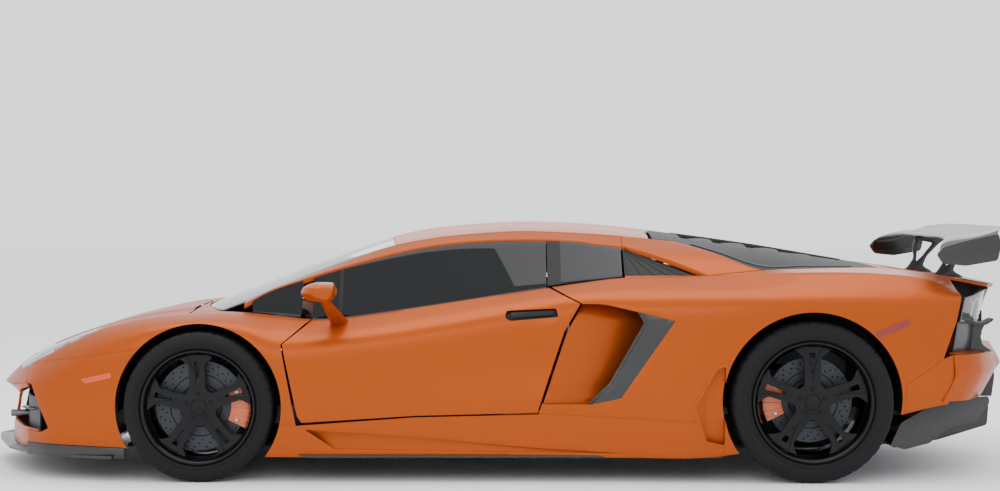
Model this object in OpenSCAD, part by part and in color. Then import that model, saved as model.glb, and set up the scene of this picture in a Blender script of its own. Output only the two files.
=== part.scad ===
// Mid-engine two-seat supercar with scissor doors, in millimetres.
// Stations are measured rearwards from the front axle, half widths from the centre plane and
// heights from the ground. The finished car is moved so that its origin is the middle of its box
// on the ground, with the nose towards -X and the driver's left side towards -Y.

/* [Overall] */
// Distance between the two axles
wheelbase = 2700; // [2400:10:3200]
// Splitter tip ahead of the front axle
front_overhang = 1099; // [950:1:1300]
// Tail behind the rear axle
rear_overhang = 1021; // [900:1:1200]
// Width over the rear wheel arches
body_w = 2030; // [1800:10:2400]
// Height of the roof over the ground
body_h = 1136; // [1000:2:1350]

/* [Panels] */
// Thickness of the body skins
skin_t = 10; // [6:1:14]
// Thickness of a whole door, from outer skin to trim
door_t = 100; // [70:5:130]
// Thickness of the window glass
glass_t = 6; // [4:1:10]
// Gap round a door or a lid
shut_gap = 6; // [5:0.5:8]
// Gap between two fixed panels
seam_gap = 0.6; // [0.3:0.1:1]

/* [Wheels] */
// Radius of the front tyres
front_tyre_r = 330; // [300:1:345]
// Width of the front tyres
front_tyre_w = 255; // [225:5:275]
// Radius of the front rims at their flange
front_rim_r = 254; // [235:1:262]
// Radius of the rear tyres
rear_tyre_r = 355; // [320:1:370]
// Width of the rear tyres
rear_tyre_w = 325; // [285:5:335]
// Radius of the rear rims at their flange
rear_rim_r = 268; // [250:1:280]
// Distance between the middles of the front tyres
front_track = 1690; // [1600:2:1740]
// Distance between the middles of the rear tyres
rear_track = 1700; // [1600:2:1720]
// Room between a tyre and its wheel arch
arch_gap = 36; // [30:1:50]

/* [Running gear] */
// Radius of the front brake discs
front_disc_r = 200; // [170:1:204]
// Radius of the rear brake discs
rear_disc_r = 190; // [170:1:204]
// Thickness of a brake disc
disc_t = 34; // [28:1:38]
// Radius of the stub axles
spindle_r = 26; // [20:1:32]
// Radius of the ball joint pins
ball_pin_r = 9; // [7:0.5:12]
// Radial clearance of a pin in its bore
pin_gap = 0.1; // [0.05:0.05:0.3]
// Radius of the hinge pins
hinge_pin_r = 8; // [6:0.5:10]

/* [Hidden] */
$fn = 48;
paint = "#d2691e";
carbon = "#2a2b2e";
black = "#151517";
smoked = "#30343a";

// The styling points below were drawn at these sizes, and follow the driving sizes from there.
drawn_wheelbase = 2700;
drawn_front = 1099;
drawn_rear = 1021;
drawn_half_w = 1015;
drawn_h = 1136;
function sx(x) = x < 0 ? x * front_overhang / drawn_front
    : x < drawn_wheelbase ? x * wheelbase / drawn_wheelbase
    : wheelbase + (x - drawn_wheelbase) * rear_overhang / drawn_rear;
function sy(y) = y * body_w / 2 / drawn_half_w;
function sz(z) = z * body_h / drawn_h;
function sized(p) = [sx(p[0]), sy(p[1]), sz(p[2])];
axle_to_middle = (wheelbase + rear_overhang - front_overhang) / 2;

// Character lines of the body, each as [station, half width, height].
centre_front = [[-1054, 0, 385], [-1000, 0, 424], [-900, 0, 496], [-800, 0, 552], [-700, 0, 597],
    [-560, 0, 645], [-430, 0, 684], [-300, 0, 714], [-180, 0, 734], [-60, 0, 746], [120, 0, 760]];
hood_edge = [[-1054, 0, 385], [-1000, 150, 420], [-900, 330, 488], [-800, 450, 543],
    [-700, 515, 585], [-560, 560, 633], [-430, 590, 670], [-300, 612, 698], [-180, 630, 716],
    [-60, 645, 727], [120, 660, 735], [480, 690, 706]];
crest = [[-1054, 0, 385], [-1000, 230, 408], [-900, 500, 462], [-800, 655, 516], [-700, 728, 566],
    [-560, 775, 628], [-430, 795, 672], [-300, 802, 704], [-180, 806, 722], [0, 806, 734],
    [120, 800, 736], [240, 786, 728], [340, 778, 716], [478, 778, 706], [623, 783, 713],
    [1000, 790, 766], [1556, 793, 851], [1884, 782, 893], [2100, 790, 900], [2300, 806, 905],
    [2507, 826, 912], [2700, 846, 918], [2900, 856, 918], [3050, 850, 910], [3227, 826, 888],
    [3397, 792, 822]];
shoulder = [[-1054, 0, 380], [-1000, 300, 392], [-900, 585, 405], [-800, 762, 422],
    [-700, 845, 452], [-560, 902, 512], [-400, 928, 590], [-200, 938, 662], [0, 942, 690],
    [200, 942, 664], [361, 944, 606], [802, 938, 640], [1250, 932, 708], [1669, 932, 782],
    [1900, 950, 790], [2200, 978, 800], [2500, 996, 806], [2700, 998, 806], [2900, 992, 800],
    [3108, 964, 790], [3250, 930, 792], [3397, 880, 800]];
waist = [[-800, 785, 340], [-700, 866, 340], [-560, 914, 350], [-400, 946, 390], [-200, 966, 500],
    [0, 976, 560], [200, 974, 500], [361, 966, 440], [802, 954, 460], [1250, 946, 500],
    [1669, 950, 520], [1900, 968, 540], [2200, 1000, 600], [2500, 1014, 660], [2700, 1015, 670],
    [2900, 1012, 650], [3108, 988, 600], [3250, 950, 590], [3397, 894, 590]];
low_crease = [[-800, 772, 235], [-700, 852, 222], [-560, 900, 215], [-400, 934, 212],
    [-200, 944, 215], [0, 950, 220], [200, 955, 230], [361, 958, 246], [802, 962, 280],
    [1250, 966, 330], [1500, 968, 362], [1669, 972, 370], [1900, 982, 350], [2200, 1000, 300],
    [2500, 1008, 300], [2700, 1008, 330], [2900, 1004, 360], [3108, 978, 420], [3250, 944, 430],
    [3397, 896, 440]];
hem = [[-800, 748, 160], [-700, 830, 158], [-560, 884, 156], [-400, 922, 152], [-200, 930, 140],
    [0, 936, 120], [200, 940, 112], [361, 944, 110], [802, 948, 110], [1250, 950, 110],
    [1669, 955, 110], [1900, 962, 110], [2200, 978, 110], [2500, 984, 150], [2700, 980, 200],
    [2900, 972, 250], [3108, 950, 300], [3250, 920, 330], [3397, 874, 350]];

// Lines of the cabin.
screen_mid = [[-62, 0, 741], [100, 0, 806], [300, 0, 884], [500, 0, 959], [700, 0, 1028], [816, 0, 1065]];
screen_edge = [[70, 655, 742], [200, 672, 792], [300, 650, 838], [500, 604, 916], [700, 566, 988],
    [850, 546, 1034]];
roof_mid = [[816, 0, 1066], [940, 0, 1094], [1060, 0, 1112], [1345, 0, 1134], [1486, 0, 1135.6],
    [1620, 0, 1133], [1773, 0, 1124], [1900, 0, 1112], [2010, 0, 1098]];
roof_edge = [[70, 655, 742], [200, 672, 792], [300, 650, 838], [500, 604, 916], [700, 566, 988],
    [816, 548, 1026], [1060, 534, 1070], [1345, 526, 1094], [1486, 524, 1096], [1773, 524, 1082],
    [2010, 530, 1062]];
window_top = [[164, 736, 767], [292, 704, 834], [438, 672, 884], [579, 646, 928], [811, 616, 992],
    [997, 602, 1032], [1212, 596, 1056], [1479, 594, 1063], [1680, 599, 1054], [1767, 604, 1042],
    [1884, 610, 1030]];
window_foot = [[164, 737, 766], [331, 760, 733], [478, 772, 711], [623, 778, 718], [1000, 784, 770],
    [1556, 788, 855], [1767, 782, 886], [1884, 775, 900]];

// Lines behind the cabin.
cover_mid = [[2010, 0, 1098], [2161, 0, 1078], [2370, 0, 1050], [2574, 0, 1020], [2786, 0, 984],
    [3000, 0, 948], [3186, 0, 920], [3390, 0, 890], [3560, 0, 866]];
cover_edge = [[2010, 530, 1062], [2127, 550, 1050], [2300, 664, 1000], [2507, 783, 927],
    [2700, 738, 932], [2900, 668, 934], [3050, 618, 932], [3227, 602, 914], [3397, 592, 886],
    [3560, 578, 856]];

haunch = [[1884, 770, 900], [2100, 784, 903], [2262, 800, 904], [2380, 800, 914], [2507, 792, 926],
    [2700, 738, 932], [2900, 668, 934], [3050, 618, 932], [3227, 602, 914], [3397, 592, 886]];
roof_and_cover = [[1773, 524, 1082], [2010, 530, 1062], [2084, 540, 1055], [2127, 550, 1050]];

// Cubic through the points of a line, at one station.
function span_of(line, x, i = 0) =
    i >= len(line) - 2 || x < line[i + 1][0] ? i : span_of(line, x, i + 1);
function slope(line, i) =
    let (a = max(i - 1, 0), b = min(i + 1, len(line) - 1))
    (line[b] - line[a]) / (line[b][0] - line[a][0]);
function at(line, x) =
    let (i = span_of(line, x), h = line[i + 1][0] - line[i][0], t = (x - line[i][0]) / h)
    line[i] * (2 * t^3 - 3 * t^2 + 1) + slope(line, i) * h * (t^3 - 2 * t^2 + t)
    + line[i + 1] * (3 * t^2 - 2 * t^3) + slope(line, i + 1) * h * (t^3 - t^2);

// Cubic across the lines at one station, with k steps between neighbours.
function knot(p, i) = p[max(0, min(i, len(p) - 1))];
function bend(p, i, t) =
    let (a = knot(p, i - 1), b = knot(p, i), c = knot(p, i + 1), d = knot(p, i + 2))
    b + (c - a) * t / 2 + (2 * a - 5 * b + 4 * c - d) * t^2 / 2 + (3 * b - a - 3 * c + d) * t^3 / 2;
function across(p, k) = [for (i = [0:len(p) - 2], j = [0:k - 1]) bend(p, i, j / k), p[len(p) - 1]];
function flipped(p) = [for (i = [len(p) - 1:-1:1]) [p[i][0], -p[i][1], p[i][2]]];
function stations(a, b, n) = [for (i = [0:n]) a + (b - a) * i / n];

// Rows of points over a surface, on one side or across the whole car.
function half_rows(lines, xs, k) = [for (x = xs)
    [for (p = across([for (l = lines) at(l, x)], k)) sized(p)]];
function full_rows(lines, xs, k) = [for (x = xs)
    let (h = across([for (l = lines) at(l, x)], k)) [for (p = concat(flipped(h), h)) sized(p)]];

function unit(v) = v / max(norm(v), 1e-6);
function row_normal(rows, i, j) =
    let (n = len(rows) - 1, m = len(rows[0]) - 1)
    unit(cross(rows[min(i + 1, n)][j] - rows[max(i - 1, 0)][j],
               rows[i][min(j + 1, m)] - rows[i][max(j - 1, 0)]));

// Closed solid between the rows and a second layer of the same points.
module between_layers(rows, inner) {
    n = len(rows);
    m = len(rows[0]);
    s = n * m;
    quads = concat(
        [for (i = [0:n - 2], j = [0:m - 2]) [i * m + j, i * m + j + 1, i * m + m + j + 1, i * m + m + j]],
        [for (i = [0:n - 2], j = [0:m - 2])
            [s + i * m + j, s + i * m + m + j, s + i * m + m + j + 1, s + i * m + j + 1]],
        [for (j = [0:m - 2]) [j, s + j, s + j + 1, j + 1]],
        [for (j = [0:m - 2]) let (e = (n - 1) * m + j) [e, e + 1, s + e + 1, s + e]],
        [for (i = [0:n - 2]) [i * m, i * m + m, s + i * m + m, s + i * m]],
        [for (i = [0:n - 2]) let (e = i * m + m - 1) [e, s + e, s + e + m, e + m]]);
    polyhedron(points = concat([for (r = rows) each r], [for (r = inner) each r]),
               faces = [for (q = quads) each [[q[0], q[1], q[2]], [q[0], q[2], q[3]]]]);
}
// A skin of even thickness t under the rows.
module skin(rows, t) {
    between_layers(rows, [for (i = [0:len(rows) - 1])
        [for (j = [0:len(rows[0]) - 1]) rows[i][j] - t * row_normal(rows, i, j)]]);
}
// A slab between the rows and the same rows moved by v.
module slab(rows, v) {
    between_layers(rows, [for (r = rows) [for (p = r) p + v]]);
}

// Both sides of the car, the other side, and a panel as one closed mesh.
module both_sides() {
    children();
    mirror([0, 1, 0]) children();
}
module one_mesh() { resize([0, 0, 0]) children(); }

// A prism along Y from an outline in station and height, between two half widths.
module side_prism(outline, y0 = 300, y1 = 1300, grow = 0) {
    translate([0, y1, 0]) rotate([90, 0, 0]) linear_extrude(y1 - y0) offset(delta = grow)
        polygon([for (p = outline) [sx(p[0]), sz(p[1])]]);
}
// A prism along Z from an outline in station and half width, between two heights.
module plan_prism(outline, z0 = 0, z1 = 1400, grow = 0) {
    translate([0, 0, z0]) linear_extrude(z1 - z0) offset(delta = grow)
        polygon([for (p = outline) [sx(p[0]), sy(p[1])]]);
}
module box_at(x, y, z) { translate([x[0], y[0], z[0]]) cube([x[1] - x[0], y[1] - y[0], z[1] - z[0]]); }
module axle_rod(r, y0, y1) { translate([0, y0, 0]) rotate([-90, 0, 0]) cylinder(h = y1 - y0, r = r); }
module wheel_hole(x, r, tyre_r, y0 = 500, y1 = 1300) { translate([x, 0, tyre_r]) axle_rod(r, y0, y1); }

front_arch_r = front_tyre_r + arch_gap;
rear_arch_r = rear_tyre_r + arch_gap + 4;

/* Outlines of the panels in side view, as [station, height]. */
door_opening = [[430, 249], [361, 604], [478, 707], [478, 1200], [1545, 1200], [1545, 858],
    [1690, 785], [1618, 660], [1497, 300], [959, 287]];
door_shape = [[456, 262], [436, 290], [368, 605], [486, 702], [486, 1200], [1538, 1200], [1538, 852],
    [1682, 783], [1611, 662], [1492, 307], [959, 294]];
bumper_top = [[-1200, 20], [-1200, 500], [-940, 500], [-790, 505], [-703, 518], [-262, 586], [-262, 20]];
skirt_outline = [[300, 60], [300, 249], [430, 249], [959, 287], [1497, 300], [1560, 300],
    [2290, 262], [2330, 60]];
rear_seam = [[3111, 200], [3111, 433], [3280, 540], [3320, 556], [3500, 556], [3500, 200]];
intake_hole = [[1706, 783], [1785, 783], [1951, 745], [1978, 701], [1822, 429], [1725, 343],
    [1512, 345], [1618, 660], [1690, 785]];
blade_outline = [[1951, 745], [2096, 710], [1859, 372], [1725, 343], [1822, 429], [1978, 701]];
tail_seam = [[3372, 1200], [3372, 810], [3343, 700], [3284, 550], [3284, 200], [3600, 200], [3600, 1200]];
lamp_outline = [[-858, 560], [-700, 590], [-560, 650], [-452, 728], [-452, 790], [-560, 770],
    [-700, 722], [-800, 650]];

// Pivots of the moving panels.
door_pivot = [455, 700, 716];
door_lean = 20;
door_splay = 11;
door_axis = unit([sin(door_lean), cos(door_lean) * cos(door_splay), -sin(door_splay)]);
hood_pivot = [-92, 735];
cover_pivot = [2018, 1090];
lid_pin_r = 4;
lid_gap = 8;
steer_y = front_track / 2 - 50;
upper_ball = front_tyre_r + 150;
lower_ball = front_tyre_r - 140;
column_at = [800, -370, 700];
column_tilt = 24;
column_r = 14;

module place() { translate([-axle_to_middle, 0, 0]) children(); }
function moved(line, v) = [for (p = line) p + v];
function outward(line, d) = [for (p = line) [p[0], p[1] + d, p[2]]];
function between(a, b, t) = [for (p = a) p * (1 - t) + at(b, p[0]) * t];
// Rows from a middle line out to an edge line, each with its own range of stations.
function arc_rows(mid, edge, m0, m1, e0, e1, n, m, shrink = 0) = [for (i = [0:n])
    let (a = at(mid, m0 + (m1 - m0) * i / n), b = at(edge, e0 + (e1 - e0) * i / n))
    [for (j = [-m:m]) let (u = j / m)
        sized([a[0] + (b[0] - a[0]) * u * u, (b[1] - shrink) * u, a[2] + (b[2] - a[2]) * u * u])]];
// Rows over the half width, from lines given as [half width, station, height].
function face_rows(lines, ys, k) = [for (y = ys)
    [for (p = across([for (l = lines) let (q = at(l, abs(y))) [q[1], y, q[2]]], k)) sized(p)]];

/* Fixed structure. */
module tub() {
    color(carbon) {
        box_at([362, 1640], [-700, 700], [125, 150]);
        both_sides() {
            box_at([430, 1640], [700, 914], [125, 236]);
            box_at([400, 452], [606, 700], [150, 655]);
            box_at([452, 1640], [690, 700], [150, 330]);
            // Cheek and pin of the door hinge.
            hull() {
                box_at([410, 440], [608, 625], [560, 600]);
                translate(door_pivot) rotate_to(door_axis) translate([0, 0, -60])
                    cylinder(h = 20, r = 22);
            }
            translate(door_pivot) rotate_to(door_axis) translate([0, 0, -60])
                cylinder(h = 78, r = hinge_pin_r);
            for (x = [520, 1520]) box_at([x - 40, x + 40], [780, 860], [104, 125]);
        }
        box_at([362, 392], [-565.7, 565.7], [150, 640]);
        // Cowl with the fixed leaves of the hood hinges.
        box_at([-78, 60], [-300, 300], [640, 652]);
        for (y = [-210, 210]) {
            box_at([-78.5, -60], [y - 38, y + 38], [640, 734]);
            hinge_base(hood_pivot, y, 1);
        }
        box_at([392, 452], [-606, 606], [600, 640]);
        box_at([60, 362], [-560, 560], [640, 652]);
        difference() {
            rotate([90, 0, 90]) translate([0, 0, 1640]) linear_extrude(28)
                polygon(concat([[700, 840], [700, 125], [-700, 125], [-700, 840]],
                    let (a = at(roof_mid, 1668), b = at(roof_edge, 1668))
                    [for (u = [-1:0.25:1]) [b[1] * u, a[2] + (b[2] - a[2]) * u * u - 27]]));
            box_at([1630, 1680], [-380, 380], [880, 1000]);
        }
    }
}
module rotate_to(v) {
    rotate([0, acos(v[2] / norm(v)), atan2(v[1], v[0])]) children();
}
module front_frame() {
    color(black) {
        both_sides() {
            box_at([-740, 361.7], [330, 400], [200, 290]);
            box_at([-200, 200], [400, 420], [150, 520]);
            box_at([-200, 200], [330, 400], [290, 520]);
            box_at([-640, -600], [330, 400], [290, 480]);
        }
        box_at([-780, -740], [-600, 600], [190, 300]);
        // Socket of the towing eye.
        difference() {
            translate([-960, -360, 245]) rotate([0, 90, 0]) cylinder(h = 180, r = 16);
            translate([-961, -360, 245]) rotate([0, 90, 0]) cylinder(h = 60, r = 10);
        }
    }
}
// Luggage tub under the hood.
module luggage_tub() {
    color(black) difference() {
        box_at([-560, -130], [-329.7, 329.7], [296, 600]);
        box_at([-552, -138], [-322, 322], [304, 620]);
    }
}
module rear_frame() {
    color(black) {
        both_sides() {
            box_at([1668.3, 3260], [440, 500], [250, 330]);
            box_at([2500, 2900], [440, 500], [330, 700]);
            box_at([1668.3, 1708], [300, 500], [330, 400]);
            box_at([3160, 3210], [440, 500], [330, 840]);
            box_at([2120, 2160], [500, 560], [250, 940]);
            box_at([2120, 2160], [440, 500], [330, 400]);
            // Engine mounts and the hanger of the silencer.
            box_at([2200, 2280], [340.3, 440], [270, 330]);
            box_at([3160, 3210], [400.3, 440], [440, 480]);
        }
        box_at([3260, 3300], [-640, 640], [240, 340]);
        box_at([3160, 3210], [-440, 440], [800, 840]);
    }
}
module engine() {
    color("#6b6e73") {
        box_at([1730, 2560], [-340, 340], [200, 720]);
        box_at([2560, 3100], [-190, 190], [220, 560]);
    }
}
module underfloor() {
    color(black) {
        box_at([-380, 376], [-560, 560], [112, 124.7]);
        difference() {
            box_at([376, 2290], [-905, 905], [112, 124.7]);
            both_sides() for (x = [520, 1520]) box_at([x - 41, x + 41], [779, 861], [100, 130]);
        }
        box_at([2290, 3060], [-620, 620], [112, 124.7]);
    }
}
module wheel_liners() {
    color(black) both_sides() {
        difference() {
            wheel_hole(0, front_arch_r + 10, front_tyre_r, 566, 850);
            wheel_hole(0, front_arch_r + 5, front_tyre_r, 571, 1000);
            box_at([-500, 500], [500, 1000], [-100, 300]);
            wheel_hole(0, 175, front_tyre_r, 500, 700);
            box_at([-210, 210], [500, 590], [100, 540]);
        }
        difference() {
            wheel_hole(wheelbase, rear_arch_r + 10, rear_tyre_r, 640, 940);
            wheel_hole(wheelbase, rear_arch_r + 5, rear_tyre_r, 645, 1100);
            box_at([2200, 3200], [500, 1000], [-100, 300]);
            box_at([2500, 2900], [600, 660], [100, 560]);
        }
    }
}

/* Suspension. */
module arm(x, y0, y1, z, spread, t) {
    translate([x, 0, z - t / 2]) linear_extrude(t) difference() {
        polygon([[-spread, y0], [-spread + 50, y0], [0, y1 - 60], [spread - 50, y0], [spread, y0],
                 [26, y1], [-26, y1]]);
    }
    translate([x, y1, z - t / 2]) cylinder(h = t, r = 26);
}
module front_arms() {
    color("#4a4c50") both_sides() {
        arm(0, 420.3, steer_y, upper_ball, 140, 16);
        arm(0, 420.3, steer_y, lower_ball, 170, 18);
        translate([0, steer_y, upper_ball - 40]) cylinder(h = 40, r = ball_pin_r);
        translate([0, steer_y, lower_ball]) cylinder(h = 40, r = ball_pin_r);
        // Anchors on the subframe.
        for (z = [upper_ball, lower_ball]) box_at([-170, 170], [420.3, 440], [z - 8, z + 8]);
    }
}
module caliper(x, r, y, inner, turn) {
    translate([x, 0, 0]) rotate([0, turn, 0]) difference() {
        rotate([-90, 0, 0]) translate([0, 0, y - 18]) linear_extrude(disc_t + 36) difference() {
            intersection() {
                circle(r = r + 20);
                polygon([[0, 0], [600, -300], [600, 300]]);
            }
            circle(r = inner);
        }
        axle_rod(r + 5, y - 7, y + disc_t + 7);
    }
}
module knuckle(x, centre, tyre_r, disc_r, y, turn, steered) {
    disc_y = centre - 15;
    translate([x, 0, tyre_r]) difference() {
        union() {
            axle_rod(62, y - 22, y + 22);
            axle_rod(spindle_r, y + 22, centre + 40);
            translate([0, y, -114]) cylinder(h = 228, r = 22);
            // Arm that carries the caliper round the edge of the disc.
            rotate([0, turn, 0]) box_at([50, disc_r - 10], [y + 2, disc_y - 18], [-45, 45]);
            caliper(0, disc_r, disc_y, disc_r - 62, turn);
        }
        if (steered) translate([0, y, -120]) cylinder(h = 240, r = ball_pin_r + pin_gap);
    }
}
module front_knuckle() {
    color("#d4581a") knuckle(0, front_track / 2, front_tyre_r, front_disc_r, steer_y, 0, true);
}
module rear_arms() {
    color("#4a4c50") both_sides() {
        arm(wheelbase, 500.3, rear_track / 2 - 62.3, rear_tyre_r + 122, 150, 16);
        arm(wheelbase, 500.3, rear_track / 2 - 62.3, rear_tyre_r - 122, 170, 16);
    }
}
module rear_knuckles() {
    color("#d4581a") both_sides()
        knuckle(wheelbase, rear_track / 2, rear_tyre_r, rear_disc_r, rear_track / 2 - 62, 180, false);
}
function tyre_profile(r, w, rim_r) = let (b = rim_r - 12.7, h = w / 2) [
    [b, -h + 46], [b, -h + 17.4], [rim_r + 1, -h + 17.4], [rim_r + 8, -h + 6], [rim_r + 26, -h + 1], [r - 40, -h],
    [r - 16, -h + 6], [r - 4, -h + 20], [r, -h + 40], [r, h - 40], [r - 4, h - 20], [r - 16, h - 6],
    [r - 40, h], [rim_r + 26, h - 1], [rim_r + 8, h - 6], [rim_r + 1, h - 17.4], [b, h - 17.4], [b, h - 46],
    [rim_r + 14, h - 22], [r - 24, h - 18], [r - 15, h - 40], [r - 15, -h + 40], [r - 24, -h + 18],
    [rim_r + 14, -h + 22]];
module tyre(x, y, r, w, rim_r) {
    color("#1c1c1d") translate([x, y, r]) rotate([90, 0, 0])
        rotate_extrude($fn = 60) polygon(tyre_profile(r, w, rim_r));
}
function rim_profile(w, rim_r) = let (b = rim_r - 13, h = w / 2) [
    [b - 10, -h + 6], [rim_r, -h + 6], [rim_r, -h + 17], [b, -h + 17], [b, -h + 46],
    [b - 12, -h + 66], [b - 12, h - 66], [b, h - 46], [b, h - 17], [rim_r, h - 17], [rim_r, h - 6],
    [b - 10, h - 6], [b - 10, h - 44], [b - 20, h - 64], [b - 20, -h + 64], [b - 10, -h + 44]];
module rim(x, centre, r, w, rim_r, disc_r, start) {
    disc_y = centre - 15;
    face = w / 2 - 62;
    color(black) translate([x, 0, r]) difference() {
        union() {
            translate([0, centre, 0]) rotate([90, 0, 0]) rotate_extrude($fn = 60)
                polygon(rim_profile(w, rim_r));
            translate([0, centre + face, 0]) rotate([-90, 0, 0]) linear_extrude(26) difference() {
                circle(r = rim_r - 28, $fn = 60);
                for (a = [start:72:359 + start]) rotate(-a) polygon([[92, -22], [122, -62],
                    [rim_r - 52, -86], [rim_r - 36, -50], [rim_r - 36, 50], [rim_r - 52, 86],
                    [122, 62], [92, 22]]);
            }
            axle_rod(74, disc_y, centre + face + 1);
            axle_rod(disc_r, disc_y, disc_y + disc_t);
        }
        axle_rod(spindle_r + pin_gap, disc_y - 1, centre + 42);
    }
}

/* Front of the body. */
nose_edge = [[0, -1054, 372], [150, -1034, 381], [300, -1000, 388], [585, -900, 401], [700, -842, 412],
    [780, -790, 424]];
nose_lip = [[0, -972, 330], [150, -962, 336], [300, -938, 340], [585, -862, 345], [700, -820, 350],
    [780, -778, 352]];
nose_low = [[0, -1000, 190], [150, -990, 190], [300, -960, 190], [585, -858, 190], [700, -796, 196],
    [780, -736, 204]];
nose_foot = [[0, -1000, 116], [150, -990, 116], [300, -960, 116], [585, -858, 116], [700, -796, 116],
    [780, -736, 116]];
front_side = [hood_edge, crest, shoulder, waist, low_crease, hem];
module front_skins(a, b, n) {
    both_sides() skin(half_rows(front_side, stations(a, b, n), 2), skin_t);
}
module front_bumper() {
    color(paint) one_mesh() difference() {
        union() {
            intersection() {
                both_sides() skin(half_rows([hood_edge, crest, shoulder], stations(-1040, -790, 5), 2), 9);
                plan_prism([[-1100, -760], [-1100, 760], [-790, 760], [-790, -760]], 300, 640);
            }
            skin(full_rows([centre_front, hood_edge], stations(-1040, -790, 5), 2), 9);
            intersection() {
                front_skins(-790, -300, 6);
                side_prism(bumper_top, -1300, 1300, -seam_gap / 2);
            }
            skin(face_rows([nose_edge, nose_lip, nose_low, nose_foot], stations(-780, 780, 14), 2), 12);
        }
        both_sides() {
            wheel_hole(0, front_arch_r, front_tyre_r);
            side_opening_front();
            plan_prism(lamp_outline, 440, 800, seam_gap);
        }
        // Mouth in the middle.
        translate([-1200, 0, 0]) rotate([90, 0, 90]) linear_extrude(500)
            polygon([[-150, 208], [150, 208], [230, 326], [-230, 326]]);
    }
}
module side_opening_front() {
    translate([-1200, 0, 0]) rotate([90, 0, 90]) linear_extrude(600)
        polygon([[300, 214], [690, 214], [735, 330], [560, 345], [330, 330]]);
}
module front_splitter() {
    plan = [[-1099, 0], [-1055, 180], [-931, 530], [-800, 728], [-700, 812], [-537, 892], [-380, 944],
        [-380, 570], [-500, 540], [-500, 0]];
    color(carbon) both_sides() {
        plan_prism(plan, 98, 115);
        plan_prism([[-704, 800], [-537, 876], [-380, 916], [-380, 906], [-540, 866], [-704, 790]],
                   100, 146);
    }
}
module front_fenders() {
    color(paint) one_mesh() difference() {
        union() {
            front_skins(-789, 478, 14);
            cowl();
        }
        side_prism(bumper_top, -1300, 1300, seam_gap / 2);
        both_sides() {
            wheel_hole(0, front_arch_r, front_tyre_r);
            plan_prism(lamp_outline, 440, 800, seam_gap);
            plan_prism([[150, 300], [150, 700], [240, 756], [340, 754], [420, 764], [500, 772], [500, 300]], 600, 800);
            side_prism(door_opening);
            side_prism(skirt_outline, 300, 1300, seam_gap);
        }
    }
}
module headlights() {
    color(smoked) one_mesh() {
        intersection() {
            union() {
                both_sides() skin(half_rows([hood_edge, crest, shoulder], stations(-880, -430, 6), 2), 9);
            }
            both_sides() plan_prism(lamp_outline, 440, 800, 0);
        }
    }
}
module cowl() {
    slab(arc_rows(centre_front, outward(hood_edge, -0.8), -77, -66, -77, 64, 3, 4), [0, 0, -4]);
}
module hood() {
    xs = stations(-780, -100, 8);
    color(paint) one_mesh() slab(full_rows([centre_front, between(centre_front, hood_edge, 0.5),
        outward(hood_edge, -shut_gap)], xs, 1), [0, 0, -skin_t]);
    for (y = [-210, 210]) hinge_leaf(hood_pivot, y, -1);
}
// The moving leaf of a lid hinge, with its bore.
module hinge_leaf(pivot, y, way) {
    color(paint) translate([pivot[0], y, pivot[1]]) difference() {
        union() {
            axle_rod(8, -14, 14);
            box_at([min(0, way * 14), max(0, way * 14)], [-14, 14], [-8, -1]);
        }
        axle_rod(lid_pin_r + pin_gap, -15, 15);
    }
}
// The fixed leaf of a lid hinge, with its pin.
module hinge_base(pivot, y, way) {
    translate([pivot[0], y, pivot[1]]) {
        axle_rod(lid_pin_r, -38, 38);
        for (e = [-38, 16]) {
            axle_rod(8, e, e + 22);
            box_at([min(0, way * 14), max(0, way * 14)], [e, e + 22], [-8, -1]);
        }
    }
}

/* Cabin. */
module windscreen() {
    color(smoked) one_mesh() slab(arc_rows(screen_mid, screen_edge, -62, 815, 70, 849, 8, 5, 4),
        [0, 0, -glass_t - 1]);
}
module roof() {
    color(paint) one_mesh() {
        slab(arc_rows(roof_mid, roof_edge, 817, 2010, 851, 2010, 8, 4, -4), [0, 0, -22]);
        both_sides() {
            slab(half_rows([roof_edge, window_top], stations(176, 1884, 14), 1), [0, 0, -26]);
        }
        for (y = [-190, 190]) hinge_base(cover_pivot, y, -1);
    }
}
module buttresses() {
    color(paint) one_mesh() both_sides()
        // Roof corner, then the fin down to the rear fender.
        slab(concat(
            [for (x = [1884.6, 1940, 2010, 2060]) let (e = at(roof_and_cover, x))
                [for (u = [0, 0.5, 1]) sized((e + [0, 4.8, 0]) * (1 - u) + [1884.6 + (x - 1884.6) * 0.06, 609, 1031.5] * u)]],
            [for (t = [0.06, 0.2, 0.4, 0.6, 0.8, 1])
                let (e = at(cover_edge, 2090 + 410 * t) + [0, 2, 0], f = [1884, 610, 1032] * (1 - t) + [2256, 798.8, 905] * t)
                [for (u = [0, 0.5, 1]) sized(e * (1 - u) + f * u + [0, 0, 14] * sin(180 * t) * u)]]), [0, 0, -24]);
}
module quarter_windows() {
    color(smoked) one_mesh() {
        both_sides() {
            // Small pane ahead of the door.
            slab(half_rows([moved(window_top, [0, 7.9, -7]), moved(crest, [0, -34, 8])],
                           stations(216, 436, 5), 1), [0, -7, 0]);
            // Pane behind the door.
            slab(half_rows([moved(window_top, [0, 7.9, -7]), moved(crest, [0, -12, 5])],
                           stations(1552, 1876, 5), 1), [0, -7, 0]);
        }
        // Upright rear window between the seats and the engine.
        box_at([1650, 1656], [-379.7, 379.7], [880.3, 999.7]);
    }
}

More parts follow.
